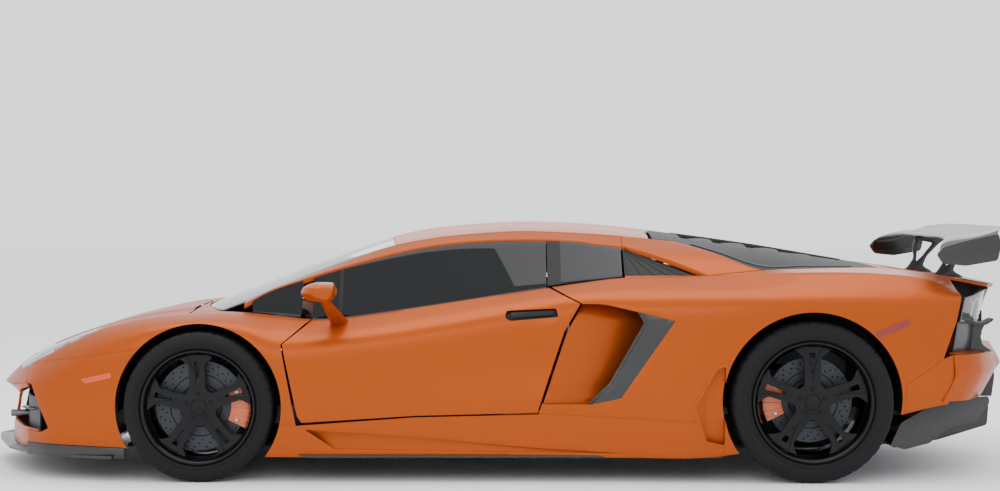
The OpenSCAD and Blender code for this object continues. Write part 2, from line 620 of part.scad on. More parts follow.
/* Sides and rear of the body. */
rear_side = [crest, shoulder, waist, low_crease, hem];
module side_skirts() {
    color(paint) one_mesh() both_sides() difference() {
        intersection() {
            skin(half_rows([waist, low_crease, hem, moved(hem, [0, -30, -1])], stations(300, 2330, 14), 1), 10);
            side_prism(skirt_outline, 300, 1300, -seam_gap / 2);
        }
        wheel_hole(0, front_arch_r, front_tyre_r);
        wheel_hole(wheelbase, rear_arch_r, rear_tyre_r);
    }
}
module rear_quarters() {
    color(paint) one_mesh() both_sides() difference() {
        skin(half_rows(rear_side, stations(1500, 3396, 18), 2), skin_t);
        wheel_hole(wheelbase, rear_arch_r, rear_tyre_r);
        side_prism(door_opening);
        side_prism(skirt_outline, 300, 1300, seam_gap / 2);
        side_prism(intake_hole);
        side_prism(blade_outline, 300, 1300, seam_gap);
        side_prism(rear_seam, 300, 1300, seam_gap);
        side_prism(tail_seam);
    }
}
module haunches() {
    color(paint) one_mesh() both_sides() difference() {
        slab(half_rows([moved(haunch, [0, 3, 0]), moved(crest, [0, -6.6, 0])],
                       stations(1890, 3396, 24), 1), [0, 0, -skin_t]);
        wheel_hole(wheelbase, rear_arch_r, rear_tyre_r);
        side_prism(tail_seam);
    }
}
module intake_blades() {
    color(carbon) one_mesh() both_sides() {
        intersection() {
            skin(half_rows(rear_side, stations(1700, 2120, 6), 2), 14);
            side_prism(blade_outline, 300, 1300, -seam_gap / 2);
        }
        // Inner wall of the duct.
        intersection() {
            skin(half_rows([for (l = rear_side) moved(l, [0, -17, 0])], stations(1700, 2120, 6), 2), 8);
            difference() {
                side_prism(blade_outline, 300, 1300, 14);
                side_prism(door_opening, 300, 1300, 8);
            }
        }
        slab([for (t = [0:0.25:1]) [for (z = [710:-90:350])
            sized([1702 + 290 * t, 800 + 162 * t, z])]], [0, -8, 0]);
    }
}
module quarter_vents() {
    color(carbon) one_mesh() both_sides() {
        slab([for (t = [0:0.25:1]) [for (u = [0:0.5:1])
            sized([1888, 764, 898] * (1 - t) * (1 - u) + [1884.5, 610.4, 1024.4] * t
                + [2205, 781, 905] * (1 - t) * u)]], [0, 0, -12]);
    }
}
module engine_cover() {
    color(carbon) one_mesh() difference() {
        slab(arc_rows(cover_mid, cover_edge, 2026, 3048, 2028, 3048, 20, 4, shut_gap + 2), [0, 0, -14]);
        for (i = [0:5]) box_at([2230 + 130 * i, 2290 + 130 * i], [-330 + 18 * i, 330 - 18 * i], [800, 1200]);
    }
    for (y = [-190, 190]) hinge_leaf(cover_pivot, y, 1);
}
module rear_deck() {
    color(paint) one_mesh() {
        slab(arc_rows(concat(cover_mid, [[3682, 0, 840]]), cover_edge, 3055, 3680, 3055, 3556, 6, 4, 2),
             [0, 0, -14]);
    }
}
wing_lines = [[[0, 3385, 1062], [500, 3365, 1062], [720, 3325, 1046], [820, 3288, 1018], [850, 3284, 968]],
    [[0, 3480, 1092], [500, 3462, 1092], [720, 3420, 1078], [820, 3380, 1052], [850, 3376, 972]],
    [[0, 3655, 1112], [500, 3640, 1112], [720, 3592, 1104], [820, 3548, 1080], [850, 3540, 984]]];
wing_depth = [6, 22, 24, 16, 4];
module rear_wing() {
    ys = [850, 820, 720, 500, 250, 0, -250, -500, -720, -820, -850];
    color(carbon) one_mesh() between_layers(face_rows(wing_lines, ys, 2),
        [for (r = face_rows(wing_lines, ys, 2)) [for (j = [0:4]) r[j] - [0, 0, wing_depth[j]]]]);
}
module wing_stands() {
    color(carbon) one_mesh() difference() {
        both_sides() side_prism([[3300, 840], [3490, 840], [3520, 930], [3600, 1080], [3400, 1066],
                                 [3392, 1000]], 343, 357);
        translate([0, 0, 0.4]) union() {
            slab(arc_rows(concat(cover_mid, [[3682, 0, 840]]), cover_edge, 3055, 3680, 3055, 3556, 6, 4, 2),
                 [0, 0, -200]);
        }
        slab([for (r = face_rows(wing_lines, [500, 250, 0, -250, -500], 2))
            [for (j = [0:4]) r[j] + [0, 0, 200 - wing_depth[j] - 0.4]]], [0, 0, -200]);
        both_sides() side_prism([[3380, 900], [3440, 900], [3500, 1010], [3430, 1020]], 330, 370);
    }
}
tail_top = [[0, 3660, 827.6], [300, 3628, 828.6], [600, 3536, 830], [700, 3500, 826], [800, 3440, 812],
    [868, 3392, 806]];
tail_mid = [[0, 3600, 700], [300, 3575, 700], [600, 3510, 700], [700, 3480, 700], [800, 3420, 700],
    [890, 3352, 700]];
tail_low = [[0, 3590, 566], [300, 3570, 566], [600, 3500, 566], [700, 3460, 566], [800, 3400, 566],
    [918, 3300, 566]];
bumper_rim = [[0, 3700, 556], [300, 3640, 556], [600, 3570, 556], [800, 3480, 556], [868, 3420, 556],
    [925, 3330, 556]];
bumper_most = [[0, 3722, 463], [140, 3722, 463], [300, 3660, 463], [600, 3580, 463], [800, 3486, 463], [868, 3420, 463],
    [930, 3330, 463]];
bumper_foot = [[0, 3640, 350], [300, 3590, 350], [600, 3520, 350], [800, 3430, 350], [868, 3370, 350],
    [905, 3310, 350]];
module tail_lights() {
    color("#7d1512") one_mesh() both_sides()
        skin(face_rows([tail_top, moved(tail_mid, [0, 0, 1])], stations(868, 560, 4), 2), 14);
}
module rear_bumper() {
    color(paint) {
        one_mesh() difference() {
            union() {
                both_sides() intersection() {
                    skin(half_rows(rear_side, stations(3100, 3396, 5), 2), skin_t);
                    side_prism(rear_seam, 300, 1300, -seam_gap / 2);
                }
                skin(face_rows([bumper_rim, bumper_most, bumper_foot], stations(925, -925, 14), 2), 12);
                // Panel between the lamps.
                skin(face_rows([tail_top, tail_mid, tail_low], stations(556, -556, 8), 2), 10);
                skin(face_rows([tail_low, bumper_rim], stations(900, -900, 12), 1), 6);
                both_sides() skin(face_rows([tail_mid, tail_low], stations(880, 560, 4), 2), 10);
            }
            both_sides() wheel_hole(wheelbase, rear_arch_r, rear_tyre_r);
            translate([3500, 0, 395]) rotate([90, 0, 90]) cylinder(h = 400, r = 120, $fn = 6);
            box_at([wheelbase + rear_overhang, 4000], [-500, 500], [300, 600]);
            plate_holes();
        }
        // Pad of the rear plate.
        difference() {
            box_at([3560, 3606], [-260, 260], [600, 720]);
            plate_holes();
        }
    }
}
module plate_holes() {
    for (y = [-120, 120]) translate([3550, y, 660]) rotate([0, 90, 0]) cylinder(h = 70, r = 3.5);
}
module rear_diffuser() {
    color(carbon) one_mesh() {
        slab([for (t = [0:0.25:1]) [for (u = [-1:0.5:1])
            sized([3060.3 + 480 * t, 600 * u, 124 + 160 * t * t + 30 * t])]], [0, 0, -12]);
        for (y = [-560, -340, -130, 120, 330, 550])
            side_fin(y);
    }
}
module side_fin(y) {
    translate([0, y + 10, 0]) rotate([90, 0, 0]) linear_extrude(10)
        polygon([for (p = [[3100, 118], [3560, 210], [3560, 340], [3300, 200], [3100, 130]]) [sx(p[0]), sz(p[1])]]);
}
module exhaust() {
    color("#8a8c90") {
        difference() {
            box_at([3120, 3250], [-400, 400], [360, 560]);
            box_at([3110, 3205], [-200, 200], [300, 600]);
        }
        for (y = [-52, 52]) translate([3250, y, 400]) difference() {
            rotate([0, 90, 0]) cylinder(h = 380, r = 44);
            translate([20, 0, 0]) rotate([0, 90, 0]) cylinder(h = 400, r = 40);
        }
    }
}

/* Inside the cabin. */
module seat(y) {
    translate([0, y, 0]) {
        hull() {
            box_at([990, 1400], [-200, 200], [170, 260]);
            box_at([970, 1000], [-190, 190], [240, 330]);
            box_at([1380, 1420], [-190, 190], [200, 290]);
        }
        hull() {
            box_at([1380, 1440], [-200, 200], [290.5, 330]);
            box_at([1500, 1560], [-150, 150], [860, 880]);
        }
        hull() {
            box_at([1490, 1540], [-110, 110], [880.5, 900]);
            box_at([1520, 1560], [-100, 100], [990, 1000]);
        }
    }
    for (e = [-230.3, 230.3]) translate([0, y + e, 0]) hull() {
        box_at([1010, 1500], [-30, 30], [150.3, 300]);
        box_at([1420, 1540], [-30, 30], [560, 620]);
    }
}
module seats() { color("#2b2523") { seat(-370); seat(370); } }
module dashboard() {
    color("#1d1d1f") difference() {
        union() {
            hull() {
                box_at([452.3, 640], [-600, 600], [560, 690]);
                box_at([560, 700], [-600, 600], [600, 690]);
            }
            hull() {
                box_at([470, 760], [-110, 110], [150.3, 560]);
                box_at([1200, 1500], [-80, 80], [150.3, 330]);
            }
            on_column() translate([0, 0, -170]) cylinder(h = 140, r = 40);
        }
        on_column() translate([0, 0, -190]) cylinder(h = 200, r = column_r + pin_gap);
    }
}
module on_column() { translate(column_at) rotate([0, 90 - column_tilt, 0]) children(); }
module steering_wheel() {
    color("#1d1d1f") on_column() {
        rotate_extrude($fn = 40) translate([165, 0]) circle(r = 14, $fn = 12);
        translate([0, 0, -120]) cylinder(h = 130, r = column_r);
        translate([0, 0, -8]) cylinder(h = 22, r = 50);
        for (a = [0, 120, 240]) rotate(a + 60) box_at([40, 160], [-14, 14], [-5, 5]);
    }
}

/* Doors. */
door_xs = stations(350, 1710, 12);
door_foot = [[350, 945, 215], [361, 945, 216], [802, 956, 250], [1250, 962, 276], [1700, 966, 296]];
door_lines = [crest, shoulder, waist, low_crease, door_foot];
module door_block(d = 0) {
    inner = [[0, -62, -2], [0, -door_t, 0], [0, -door_t - 8, 0], [0, -door_t, 0], [0, -door_t, 0]];
    between_layers(half_rows([for (l = door_lines) moved(l, [0, d, d])], door_xs, 2),
                   half_rows([for (i = [0:4]) moved(door_lines[i], inner[i] + [0, d, d])], door_xs, 2));
}
module door() {
    color(paint) difference() {
        union() {
            one_mesh() intersection() {
                door_block();
                side_prism(door_shape);
            }
            // Hinge arm.
            hull() {
                translate(door_pivot) rotate_to(door_axis) translate([0, 0, -38])
                    cylinder(h = 36, r = 16);
                box_at([505, 535], [735, 790], [640, 676]);
            }
        }
        translate(door_pivot) rotate_to(door_axis) translate([0, 0, -65])
            cylinder(h = 90, r = hinge_pin_r + pin_gap);
    }
}
module door_glass() {
    color(smoked) one_mesh() intersection() {
        slab(half_rows([moved(window_top, [0, 13, -11]), moved(crest, [0, -14, 0])], door_xs, 1), [0, -7, 0]);
        side_prism([[486, 600], [486, 1200], [1536, 1200], [1536, 600]]);
    }
}
module mirror_unit() {
    color(paint) one_mesh() difference() {
        union() {
            hull() {
                box_at([500, 600], [800, 850], [660, 700]);
                box_at([520, 570], [930, 960], [790, 800]);
            }
            hull() {
                box_at([470, 600], [925, 960], [790, 880]);
                box_at([500, 600], [1100, 1128], [806, 880]);
                box_at([450, 480], [940, 1080], [800, 850]);
            }
        }
        translate([0, 0, 0]) between_layers(
            half_rows([for (l = [crest, shoulder, waist]) moved(l, [0, 0.3, 0.3])], door_xs, 2),
            [for (r = half_rows([for (l = [crest, shoulder, waist]) l], door_xs, 2)) [for (p = r) p - [0, 200, 20]]]);
    }
}
module on_left() { mirror([0, 1, 0]) children(); }

place() tub();
place() front_frame();
place() luggage_tub();
place() rear_frame();
place() roof();
place() buttresses();
place() windscreen();
place() quarter_windows();
place() front_bumper();
place() front_splitter();
place() front_fenders();
place() side_skirts();
place() rear_quarters();
place() haunches();
place() intake_blades();
place() quarter_vents();
place() rear_deck();
place() rear_wing();
place() wing_stands();
place() rear_bumper();
place() rear_diffuser();
place() tail_lights();
place() headlights();
place() exhaust();
place() underfloor();
place() engine();
place() wheel_liners();
place() front_arms();
place() rear_arms();
place() rear_knuckles();
place() seats();
place() dashboard();
place() hood();
place() engine_cover();
place() on_left() door();  // door_left
place() door();  // door_right
place() on_left() door_glass();  // door_glass_left
place() door_glass();  // door_glass_right
place() on_left() mirror_unit();  // mirror_left
place() mirror_unit();  // mirror_right
place() steering_wheel();
place() on_left() front_knuckle();  // front_knuckle_left
place() front_knuckle();  // front_knuckle_right
place() tyre(0, -front_track / 2, front_tyre_r, front_tyre_w, front_rim_r);  // tyre_front_left
place() tyre(0, front_track / 2, front_tyre_r, front_tyre_w, front_rim_r);  // tyre_front_right
place() tyre(wheelbase, -rear_track / 2, rear_tyre_r, rear_tyre_w, rear_rim_r);  // tyre_rear_left
place() tyre(wheelbase, rear_track / 2, rear_tyre_r, rear_tyre_w, rear_rim_r);  // tyre_rear_right
place() on_left()  // rim_front_left
    rim(0, front_track / 2, front_tyre_r, front_tyre_w, front_rim_r, front_disc_r, -15);
place()  // rim_front_right
    rim(0, front_track / 2, front_tyre_r, front_tyre_w, front_rim_r, front_disc_r, -15);
place() on_left()  // rim_rear_left
    rim(wheelbase, rear_track / 2, rear_tyre_r, rear_tyre_w, rear_rim_r, rear_disc_r, -18);
place()  // rim_rear_right
    rim(wheelbase, rear_track / 2, rear_tyre_r, rear_tyre_w, rear_rim_r, rear_disc_r, -18);
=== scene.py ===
import math
import bpy, bmesh
from mathutils import Vector, Matrix


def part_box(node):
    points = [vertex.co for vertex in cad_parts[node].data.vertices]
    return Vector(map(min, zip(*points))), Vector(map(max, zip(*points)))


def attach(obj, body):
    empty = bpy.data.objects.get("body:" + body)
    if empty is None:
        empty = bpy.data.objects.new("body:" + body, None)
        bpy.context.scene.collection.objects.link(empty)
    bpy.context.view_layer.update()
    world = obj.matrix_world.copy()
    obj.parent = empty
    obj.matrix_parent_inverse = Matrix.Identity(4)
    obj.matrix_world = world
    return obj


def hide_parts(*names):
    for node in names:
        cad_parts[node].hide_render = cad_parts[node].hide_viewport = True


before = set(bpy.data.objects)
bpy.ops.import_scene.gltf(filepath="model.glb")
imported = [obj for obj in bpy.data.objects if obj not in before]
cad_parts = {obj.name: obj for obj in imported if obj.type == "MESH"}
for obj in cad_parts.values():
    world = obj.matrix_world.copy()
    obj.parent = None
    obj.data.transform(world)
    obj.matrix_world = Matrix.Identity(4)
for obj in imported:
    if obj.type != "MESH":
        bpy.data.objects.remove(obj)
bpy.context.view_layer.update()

scene = bpy.context.scene
mm = 0.001

# Camera.
viewPoint = {
    "stand": (0.039, -10.0, 1.25),  # ten metres off, at chest height, level
    "lens": 74.1,
    "shift": (-0.005, -0.0475),
}
camera = bpy.data.objects.new("sideCamera", bpy.data.cameras.new("sideCamera"))
camera.data.lens = viewPoint["lens"]
camera.data.sensor_width = 36
camera.data.shift_x, camera.data.shift_y = viewPoint["shift"]
camera.location = viewPoint["stand"]
camera.rotation_euler = (math.radians(90), 0, 0)
scene.collection.objects.link(camera)
scene.camera = camera
print("camera placed")


# Studio.
def softLight(name, place, aim, size, power):
    light = bpy.data.lights.new(name, "AREA")
    light.shape, light.size, light.size_y, light.energy = "RECTANGLE", size[0], size[1], power
    lamp = bpy.data.objects.new(name, light)
    lamp.location = place
    lamp.rotation_euler = (Vector(aim) - Vector(place)).to_track_quat("-Z", "Y").to_euler()
    scene.collection.objects.link(lamp)


softLight("overheadBox", (0, -0.5, 5.0), (0, 0, 0), (7.5, 3.0), 200)
softLight("nearBox", (-2.0, -7.5, 3.6), (0, 0, 0.5), (6.0, 2.2), 90)
softLight("farBox", (1.0, 7.0, 3.5), (0, 0, 0.6), (6.0, 2.5), 80)
scene.world = bpy.data.worlds.new("paleStudio")
scene.world.use_nodes = True
scene.world.node_tree.nodes["Background"].inputs["Color"].default_value = (0.92, 0.93, 0.95, 1)
scene.world.node_tree.nodes["Background"].inputs["Strength"].default_value = 1.7
floorMesh = bpy.data.meshes.new("studioFloor")
floorMesh.from_pydata([(-40, -40, 0), (40, -40, 0), (40, 40, 0), (-40, 40, 0)], [], [(0, 1, 2, 3)])
studioFloor = bpy.data.objects.new("studioFloor", floorMesh)
scene.collection.objects.link(studioFloor)
print("studio lit")


# Materials.
def linear(hexText):  # sRGB hex to the linear values that the shaders want
    values = [int(hexText[i:i + 2], 16) / 255 for i in (0, 2, 4)]
    return tuple(v / 12.92 if v <= 0.04045 else ((v + 0.055) / 1.055) ** 2.4 for v in values) + (1,)


def addNode(material, kind, inputs=(), **settings):
    node = material.node_tree.nodes.new(kind)
    for name, value in settings.items():
        setattr(node, name, value)
    for name, value in dict(inputs).items():
        if isinstance(value, bpy.types.NodeSocket):
            material.node_tree.links.new(value, node.inputs[name])
        else:
            node.inputs[name].default_value = value
    return node


def newFinish(name, color, roughness, metallic=0.0, **more):
    material = bpy.data.materials.new(name)
    material.use_nodes = True
    shader = material.node_tree.nodes["Principled BSDF"]
    shader.inputs["Base Color"].default_value = linear(color)
    shader.inputs["Roughness"].default_value = roughness
    shader.inputs["Metallic"].default_value = metallic
    for socket, value in more.items():
        shader.inputs[socket.replace("_", " ")].default_value = value
    return material, shader


def pattern(material, kind, cellMm, inputs=(), **settings):  # texture that sits on the piece itself
    where = addNode(material, "ShaderNodeTexCoord")
    values = {"Vector": where.outputs["Object"], "Scale": 1 / (cellMm * mm), **dict(inputs)}
    return addNode(material, kind, values, **settings)


def raised(material, shader, height, strength, depthMm, **settings):
    values = {"Height": height, "Strength": strength, "Distance": depthMm * mm}
    bump = addNode(material, "ShaderNodeBump", values, **settings)
    material.node_tree.links.new(bump.outputs["Normal"], shader.inputs["Normal"])


def grainBump(material, shader, cellMm, strength, depthMm=0.3, kind="noise"):
    if kind == "noise":
        height = pattern(material, "ShaderNodeTexNoise", cellMm, {"Detail": 3.0}).outputs["Fac"]
    else:
        height = pattern(material, "ShaderNodeTexVoronoi", cellMm).outputs["Distance"]
    raised(material, shader, height, strength, depthMm)
    return height


def mottle(material, shader, height, dark, light, low=0.35, high=0.65, socket="Base Color"):
    ramp = addNode(material, "ShaderNodeValToRGB", {"Fac": height})
    for stop, place, value in zip(ramp.color_ramp.elements, (low, high), (dark, light)):
        stop.position = place
        stop.color = linear(value) if isinstance(value, str) else (value,) * 3 + (1,)
    material.node_tree.links.new(ramp.outputs["Color"], shader.inputs[socket])


def orangePaint():
    # Metallic basecoat under clear lacquer: warm face colour, bright rim of lacquer, fine sparkle.
    # Real flakes are 0.03 mm, so the sparkle is drawn at 1.2 mm to show at all.
    material, shader = newFinish("pearlOrangeLacquer", "A24400", 0.42, 0.6, Coat_Weight=0.12,
        Specular_IOR_Level=0.25, Coat_Roughness=0.04, Coat_IOR=1.5)
    flakes = pattern(material, "ShaderNodeTexVoronoi", 1.2)
    mottle(material, shader, flakes.outputs["Distance"], "923A00", "AA4A02", 0.1, 0.7)
    return material


def carbonTwill():
    # Woven carbon fibre under lacquer: crossing dark bands that catch light in turns.
    # A 3k tow is 2 mm wide, drawn at 9 mm so that the weave is seen.
    material, shader = newFinish("lacqueredCarbonTwill", "0B0C0D", 0.42, 0.0, Coat_Weight=0.3,
        Coat_Roughness=0.06, Coat_IOR=1.5)
    where = addNode(material, "ShaderNodeTexCoord")
    turned = addNode(material, "ShaderNodeMapping", {"Vector": where.outputs["Object"],
        "Rotation": (0.3, 0.2, math.radians(45))})
    weave = addNode(material, "ShaderNodeTexChecker", {"Vector": turned.outputs["Vector"],
        "Scale": 1 / (9 * mm), "Color1": linear("060607"), "Color2": linear("111214")})
    material.node_tree.links.new(weave.outputs["Color"], shader.inputs["Base Color"])
    raised(material, shader, weave.outputs["Fac"], 0.12, 0.3)
    return material


def grainedPlastic():
    # Moulded ABS with a fine spark-eroded grain: dull, slightly mottled black.
    material, shader = newFinish("grainedBlackPlastic", "0E0F10", 0.62, 0.0, Specular_IOR_Level=0.35)
    height = grainBump(material, shader, 2.5, 0.35, 0.3)
    mottle(material, shader, height, 0.55, 0.72, socket="Roughness")
    return material


def smoothBlack():
    # Gloss black lacquer on cast aluminium wheels: deep colour, sharp highlights.
    material, shader = newFinish("glossBlackEnamel", "010102", 0.2, 0.0, Coat_Weight=0.1,
        Coat_Roughness=0.05, Specular_IOR_Level=0.2)
    grainBump(material, shader, 14, 0.03, 0.2)
    return material


def tyreRubber():
    # Cured rubber: charcoal, dull, with a faint bloom on the sidewall.
    material, shader = newFinish("curedTyreRubber", "0F0F11", 0.78, 0.0, Specular_IOR_Level=0.3)
    height = grainBump(material, shader, 5, 0.25, 0.3)
    mottle(material, shader, height, "08080A", "0E0F11")
    return material


def turnedSteel():
    # Cast iron disc, ground flat: grey metal with rings left by the pads.
    material, shader = newFinish("groundCastIron", "3C3E42", 0.42, 0.9)
    rings = pattern(material, "ShaderNodeTexNoise", 3, {"Detail": 2.0})
    mottle(material, shader, rings.outputs["Fac"], 0.33, 0.5, socket="Roughness")
    return material


def caliperPaint():
    # Baked orange paint on a cast caliper: strong colour, orange-peel surface.
    material, shader = newFinish("bakedOrangePaint", "D85A10", 0.32, 0.0, Coat_Weight=0.6,
        Coat_Roughness=0.1)
    grainBump(material, shader, 4, 0.2, 0.25)
    return material


def smokedGlass(name="smokedGlass", color="0A0E12", clear=0.6):
    # Tempered glass with a dark privacy tint: the cabin shows faintly through it.
    material, shader = newFinish(name, color, 0.02, 0.0, IOR=1.45, Transmission_Weight=clear,
        Specular_IOR_Level=0.15)
    grainBump(material, shader, 400, 0.01, 0.2)
    return material


def lampPlastic(name, color, clear):
    # Injection-moulded polycarbonate lens with fine prisms inside.
    material, shader = newFinish(name, color, 0.08, 0.0, IOR=1.58, Transmission_Weight=clear)
    grainBump(material, shader, 6, 0.12, 0.3, kind="cells")
    return material


def glowBar(name, color, power):
    # Light guide behind the lens: even, pale glow.
    material, shader = newFinish(name, color, 0.4, 0.0, Emission_Strength=power)
    shader.inputs["Emission Color"].default_value = linear(color)
    grainBump(material, shader, 3, 0.1, 0.2)
    return material


def bareMetal(name, color, roughness, cellMm=8, strength=0.15):
    # Cast or machined metal: neutral reflection broken by the surface left on it.
    material, shader = newFinish(name, color, roughness, 1.0)
    height = grainBump(material, shader, cellMm, strength, 0.4)
    mottle(material, shader, height, max(roughness - 0.08, 0.05), roughness + 0.1, socket="Roughness")
    return material


def leather(name, color):
    # Grained cow leather, lightly waxed: pebbled surface of 3 mm cells and soft sheen.
    material, shader = newFinish(name, color, 0.5, 0.0, Sheen_Weight=0.2, Sheen_Roughness=0.4)
    grainBump(material, shader, 3.5, 0.5, 0.5, kind="cells")
    return material


def wovenMesh():
    # Pressed steel mesh, painted black, raised wires 12 mm apart: the sunken middle of each hexagonal cell is
    # painted near black as painted shade, the wires dark grey.
    material, shader = newFinish("paintedSteelMesh", "121315", 0.5, 0.3)
    cells = pattern(material, "ShaderNodeTexVoronoi", 12, {"Randomness": 0.0}, feature="DISTANCE_TO_EDGE")
    # painted shade: near black in the sunken cell middles, dark grey on the raised wires
    mottle(material, shader, cells.outputs["Distance"], "2C2D30", "040405", 0.06, 0.12)
    raised(material, shader, cells.outputs["Distance"], 1.0, 3, invert=True)
    return material


def paleFloor():
    # Painted studio floor: even, nearly white, slightly rolled surface.
    material, shader = newFinish("paleRolledPaint", "F4F5F6", 0.7, 0.0)
    grainBump(material, shader, 30, 0.03, 0.3)
    return material


finish = {
    "paint": orangePaint(), "carbon": carbonTwill(), "plastic": grainedPlastic(), "rim": smoothBlack(),
    "tyre": tyreRubber(), "disc": turnedSteel(), "caliper": caliperPaint(), "glass": smokedGlass(),
    "screen": smokedGlass("tintedScreenGlass", "7C8486"),
    "clearLens": lampPlastic("clearPolycarbonate", "E8EDF0", 0.95),
    "redLens": lampPlastic("redPolycarbonate", "8E1A16", 0.3),
    "amberLens": lampPlastic("amberPolycarbonate", "E0480A", 0.2),
    "smokedLens": lampPlastic("smokedPolycarbonate", "8A8F94", 0.85),
    "frosted": glowBar("frostedLightGuide", "E8E6E4", 0.25),
    "whiteGlow": glowBar("whiteLightGuide", "F2F5FF", 1.2),
    "bright": bareMetal("machinedAluminium", "B9BCC0", 0.25),
    "cast": bareMetal("castAluminium", "6F7276", 0.5, 4, 0.4),
    "steel": bareMetal("paintedSubframeSteel", "1E1F22", 0.55, 6, 0.3),
    "tip": bareMetal("blackenedStainless", "55575B", 0.28, 20, 0.08),
    "hide": leather("blackGrainedLeather", "1A1817"),
    "orangeHide": leather("orangeStitchedLeather", "A84A18"),
    "mesh": wovenMesh(),
}
floorMesh.materials.append(paleFloor())
print("materials ready")


# Shapes.
def boxMiddle(node):
    low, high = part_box(node)
    return (low + high) / 2


frontAxle = boxMiddle("rim_front_left")
wheelbase = 2700


def spot(p):  # millimetres from the front axle, the middle and the ground, to metres in the frame
    return Vector((frontAxle.x + p[0] * mm, p[1] * mm, p[2] * mm))


def lineAt(line, x):  # smooth curve through the points of a line
    i = 0
    while i < len(line) - 2 and x >= line[i + 1][0]:
        i += 1

    def slope(k):
        a, b = max(k - 1, 0), min(k + 1, len(line) - 1)
        return (Vector(line[b]) - Vector(line[a])) / (line[b][0] - line[a][0])

    h = line[i + 1][0] - line[i][0]
    t = (x - line[i][0]) / h
    return (Vector(line[i]) * (2 * t**3 - 3 * t**2 + 1) + slope(i) * h * (t**3 - 2 * t**2 + t)
            + Vector(line[i + 1]) * (3 * t**2 - 2 * t**3) + slope(i + 1) * h * (t**3 - t**2))


def acrossAt(points, steps, soft):  # points across a surface; soft 1 is rounded, 0 keeps hard creases
    row = []
    for i in range(len(points) - 1):
        a, b, c, d = (points[max(0, min(k, len(points) - 1))] for k in (i - 1, i, i + 1, i + 2))
        for j in range(steps):
            t = j / steps
            curve = (b + (c - a) * t / 2 + (2 * a - 5 * b + 4 * c - d) * t**2 / 2
                + (3 * b - a - 3 * c + d) * t**3 / 2)
            row.append(curve * soft + (b * (1 - t) + c * t) * (1 - soft))
    return row + [points[-1].copy()]


def spread(a, b, count):
    return [a + (b - a) * i / count for i in range(count + 1)]


def moved(line, v):
    return [(p[0] + v[0], p[1] + v[1], p[2] + v[2]) for p in line]


def sideRows(lines, xs, steps=6, soft=0.75):
    return [acrossAt([lineAt(line, x) for line in lines], steps, soft) for x in xs]


def wholeRows(lines, xs, steps=6, soft=0.75):
    rows = []
    for x in xs:
        half = acrossAt([lineAt(line, x) for line in lines], steps, soft)
        rows.append([Vector((p.x, -p.y, p.z)) for p in reversed(half[1:])] + half)
    return rows


def faceRows(lines, ys, steps=6, soft=0.75):  # lines given as half width, station, height
    rows = []
    for y in ys:
        points = [lineAt(line, abs(y)) for line in lines]
        rows.append(acrossAt([Vector((p.y, y, p.z)) for p in points], steps, soft))
    return rows


def arcRows(middle, edge, m0, m1, e0, e1, count, steps, inset=0.0):
    rows = []
    for i in range(count + 1):
        a = lineAt(middle, m0 + (m1 - m0) * i / count)
        b = lineAt(edge, e0 + (e1 - e0) * i / count)
        row = []
        for j in range(-steps, steps + 1):
            u = j / steps
            q = a + (b - a) * (u * u)
            row.append(Vector((q.x, (b.y - inset) * u, q.z)))
        rows.append(row)
    return rows


def skinUnder(rows, thickness):
    count, wide = len(rows) - 1, len(rows[0]) - 1
    inner = []
    for i in range(count + 1):
        line = []
        for j in range(wide + 1):
            along = rows[min(i + 1, count)][j] - rows[max(i - 1, 0)][j]
            over = rows[i][min(j + 1, wide)] - rows[i][max(j - 1, 0)]
            line.append(rows[i][j] - along.cross(over).normalized() * thickness)
        inner.append(line)
    return inner


def dropped(rows, v):
    return [[p + Vector(v) for p in row] for row in rows]


def newMesh(name, points, faces):
    mesh = bpy.data.meshes.new(name)
    mesh.from_pydata([spot(p) for p in points], [], faces)
    solid = bmesh.new()
    solid.from_mesh(mesh)
    bmesh.ops.recalc_face_normals(solid, faces=solid.faces)
    solid.to_mesh(mesh)
    solid.free()
    piece = bpy.data.objects.new(name, mesh)
    scene.collection.objects.link(piece)
    return piece


def shell(name, outer, inner):  # closed solid between two layers of rows
    count, wide = len(outer), len(outer[0])
    size = count * wide
    faces = []
    for i in range(count - 1):
        for j in range(wide - 1):
            a = i * wide + j
            faces.append((a, a + 1, a + wide + 1, a + wide))
            faces.append((size + a, size + a + wide, size + a + wide + 1, size + a + 1))
    for j in range(wide - 1):
        faces.append((j, size + j, size + j + 1, j + 1))
        a = (count - 1) * wide + j
        faces.append((a, a + 1, size + a + 1, size + a))
    for i in range(count - 1):
        a, b = i * wide, i * wide + wide - 1
        faces.append((a, a + wide, size + a + wide, size + a))
        faces.append((b, size + b, size + b + wide, b + wide))
    return newMesh(name, [p for row in outer for p in row] + [p for row in inner for p in row], faces)


def bandFaces(count, size, closed=False):  # quads that join loops of points to their neighbours
    faces = []
    for i in range(count):
        a = i * size
        b = (i + 1) % count * size if closed else a + size
        faces += [(a + j, a + (j + 1) % size, b + (j + 1) % size, b + j) for j in range(size)]
    return faces


def loft(name, loops):  # closed form through loops of the same count
    size, points = len(loops[0]), [p for loop in loops for p in loop]
    ends = [tuple(range(size)), tuple(range(len(points) - size, len(points)))]
    return newMesh(name, points, bandFaces(len(loops) - 1, size) + ends)


def lathe(name, profile, centre, axis, count=64):  # profile given as radius and distance along the axis
    turn = Vector((0, 0, 1)).rotation_difference(Vector(axis).normalized())
    points = []
    for i in range(count):
        a = 2 * math.pi * i / count
        points += [Vector(centre) + turn @ Vector((r * math.cos(a), r * math.sin(a), h))
            for r, h in profile]
    return newMesh(name, points, bandFaces(count, len(profile), closed=True))


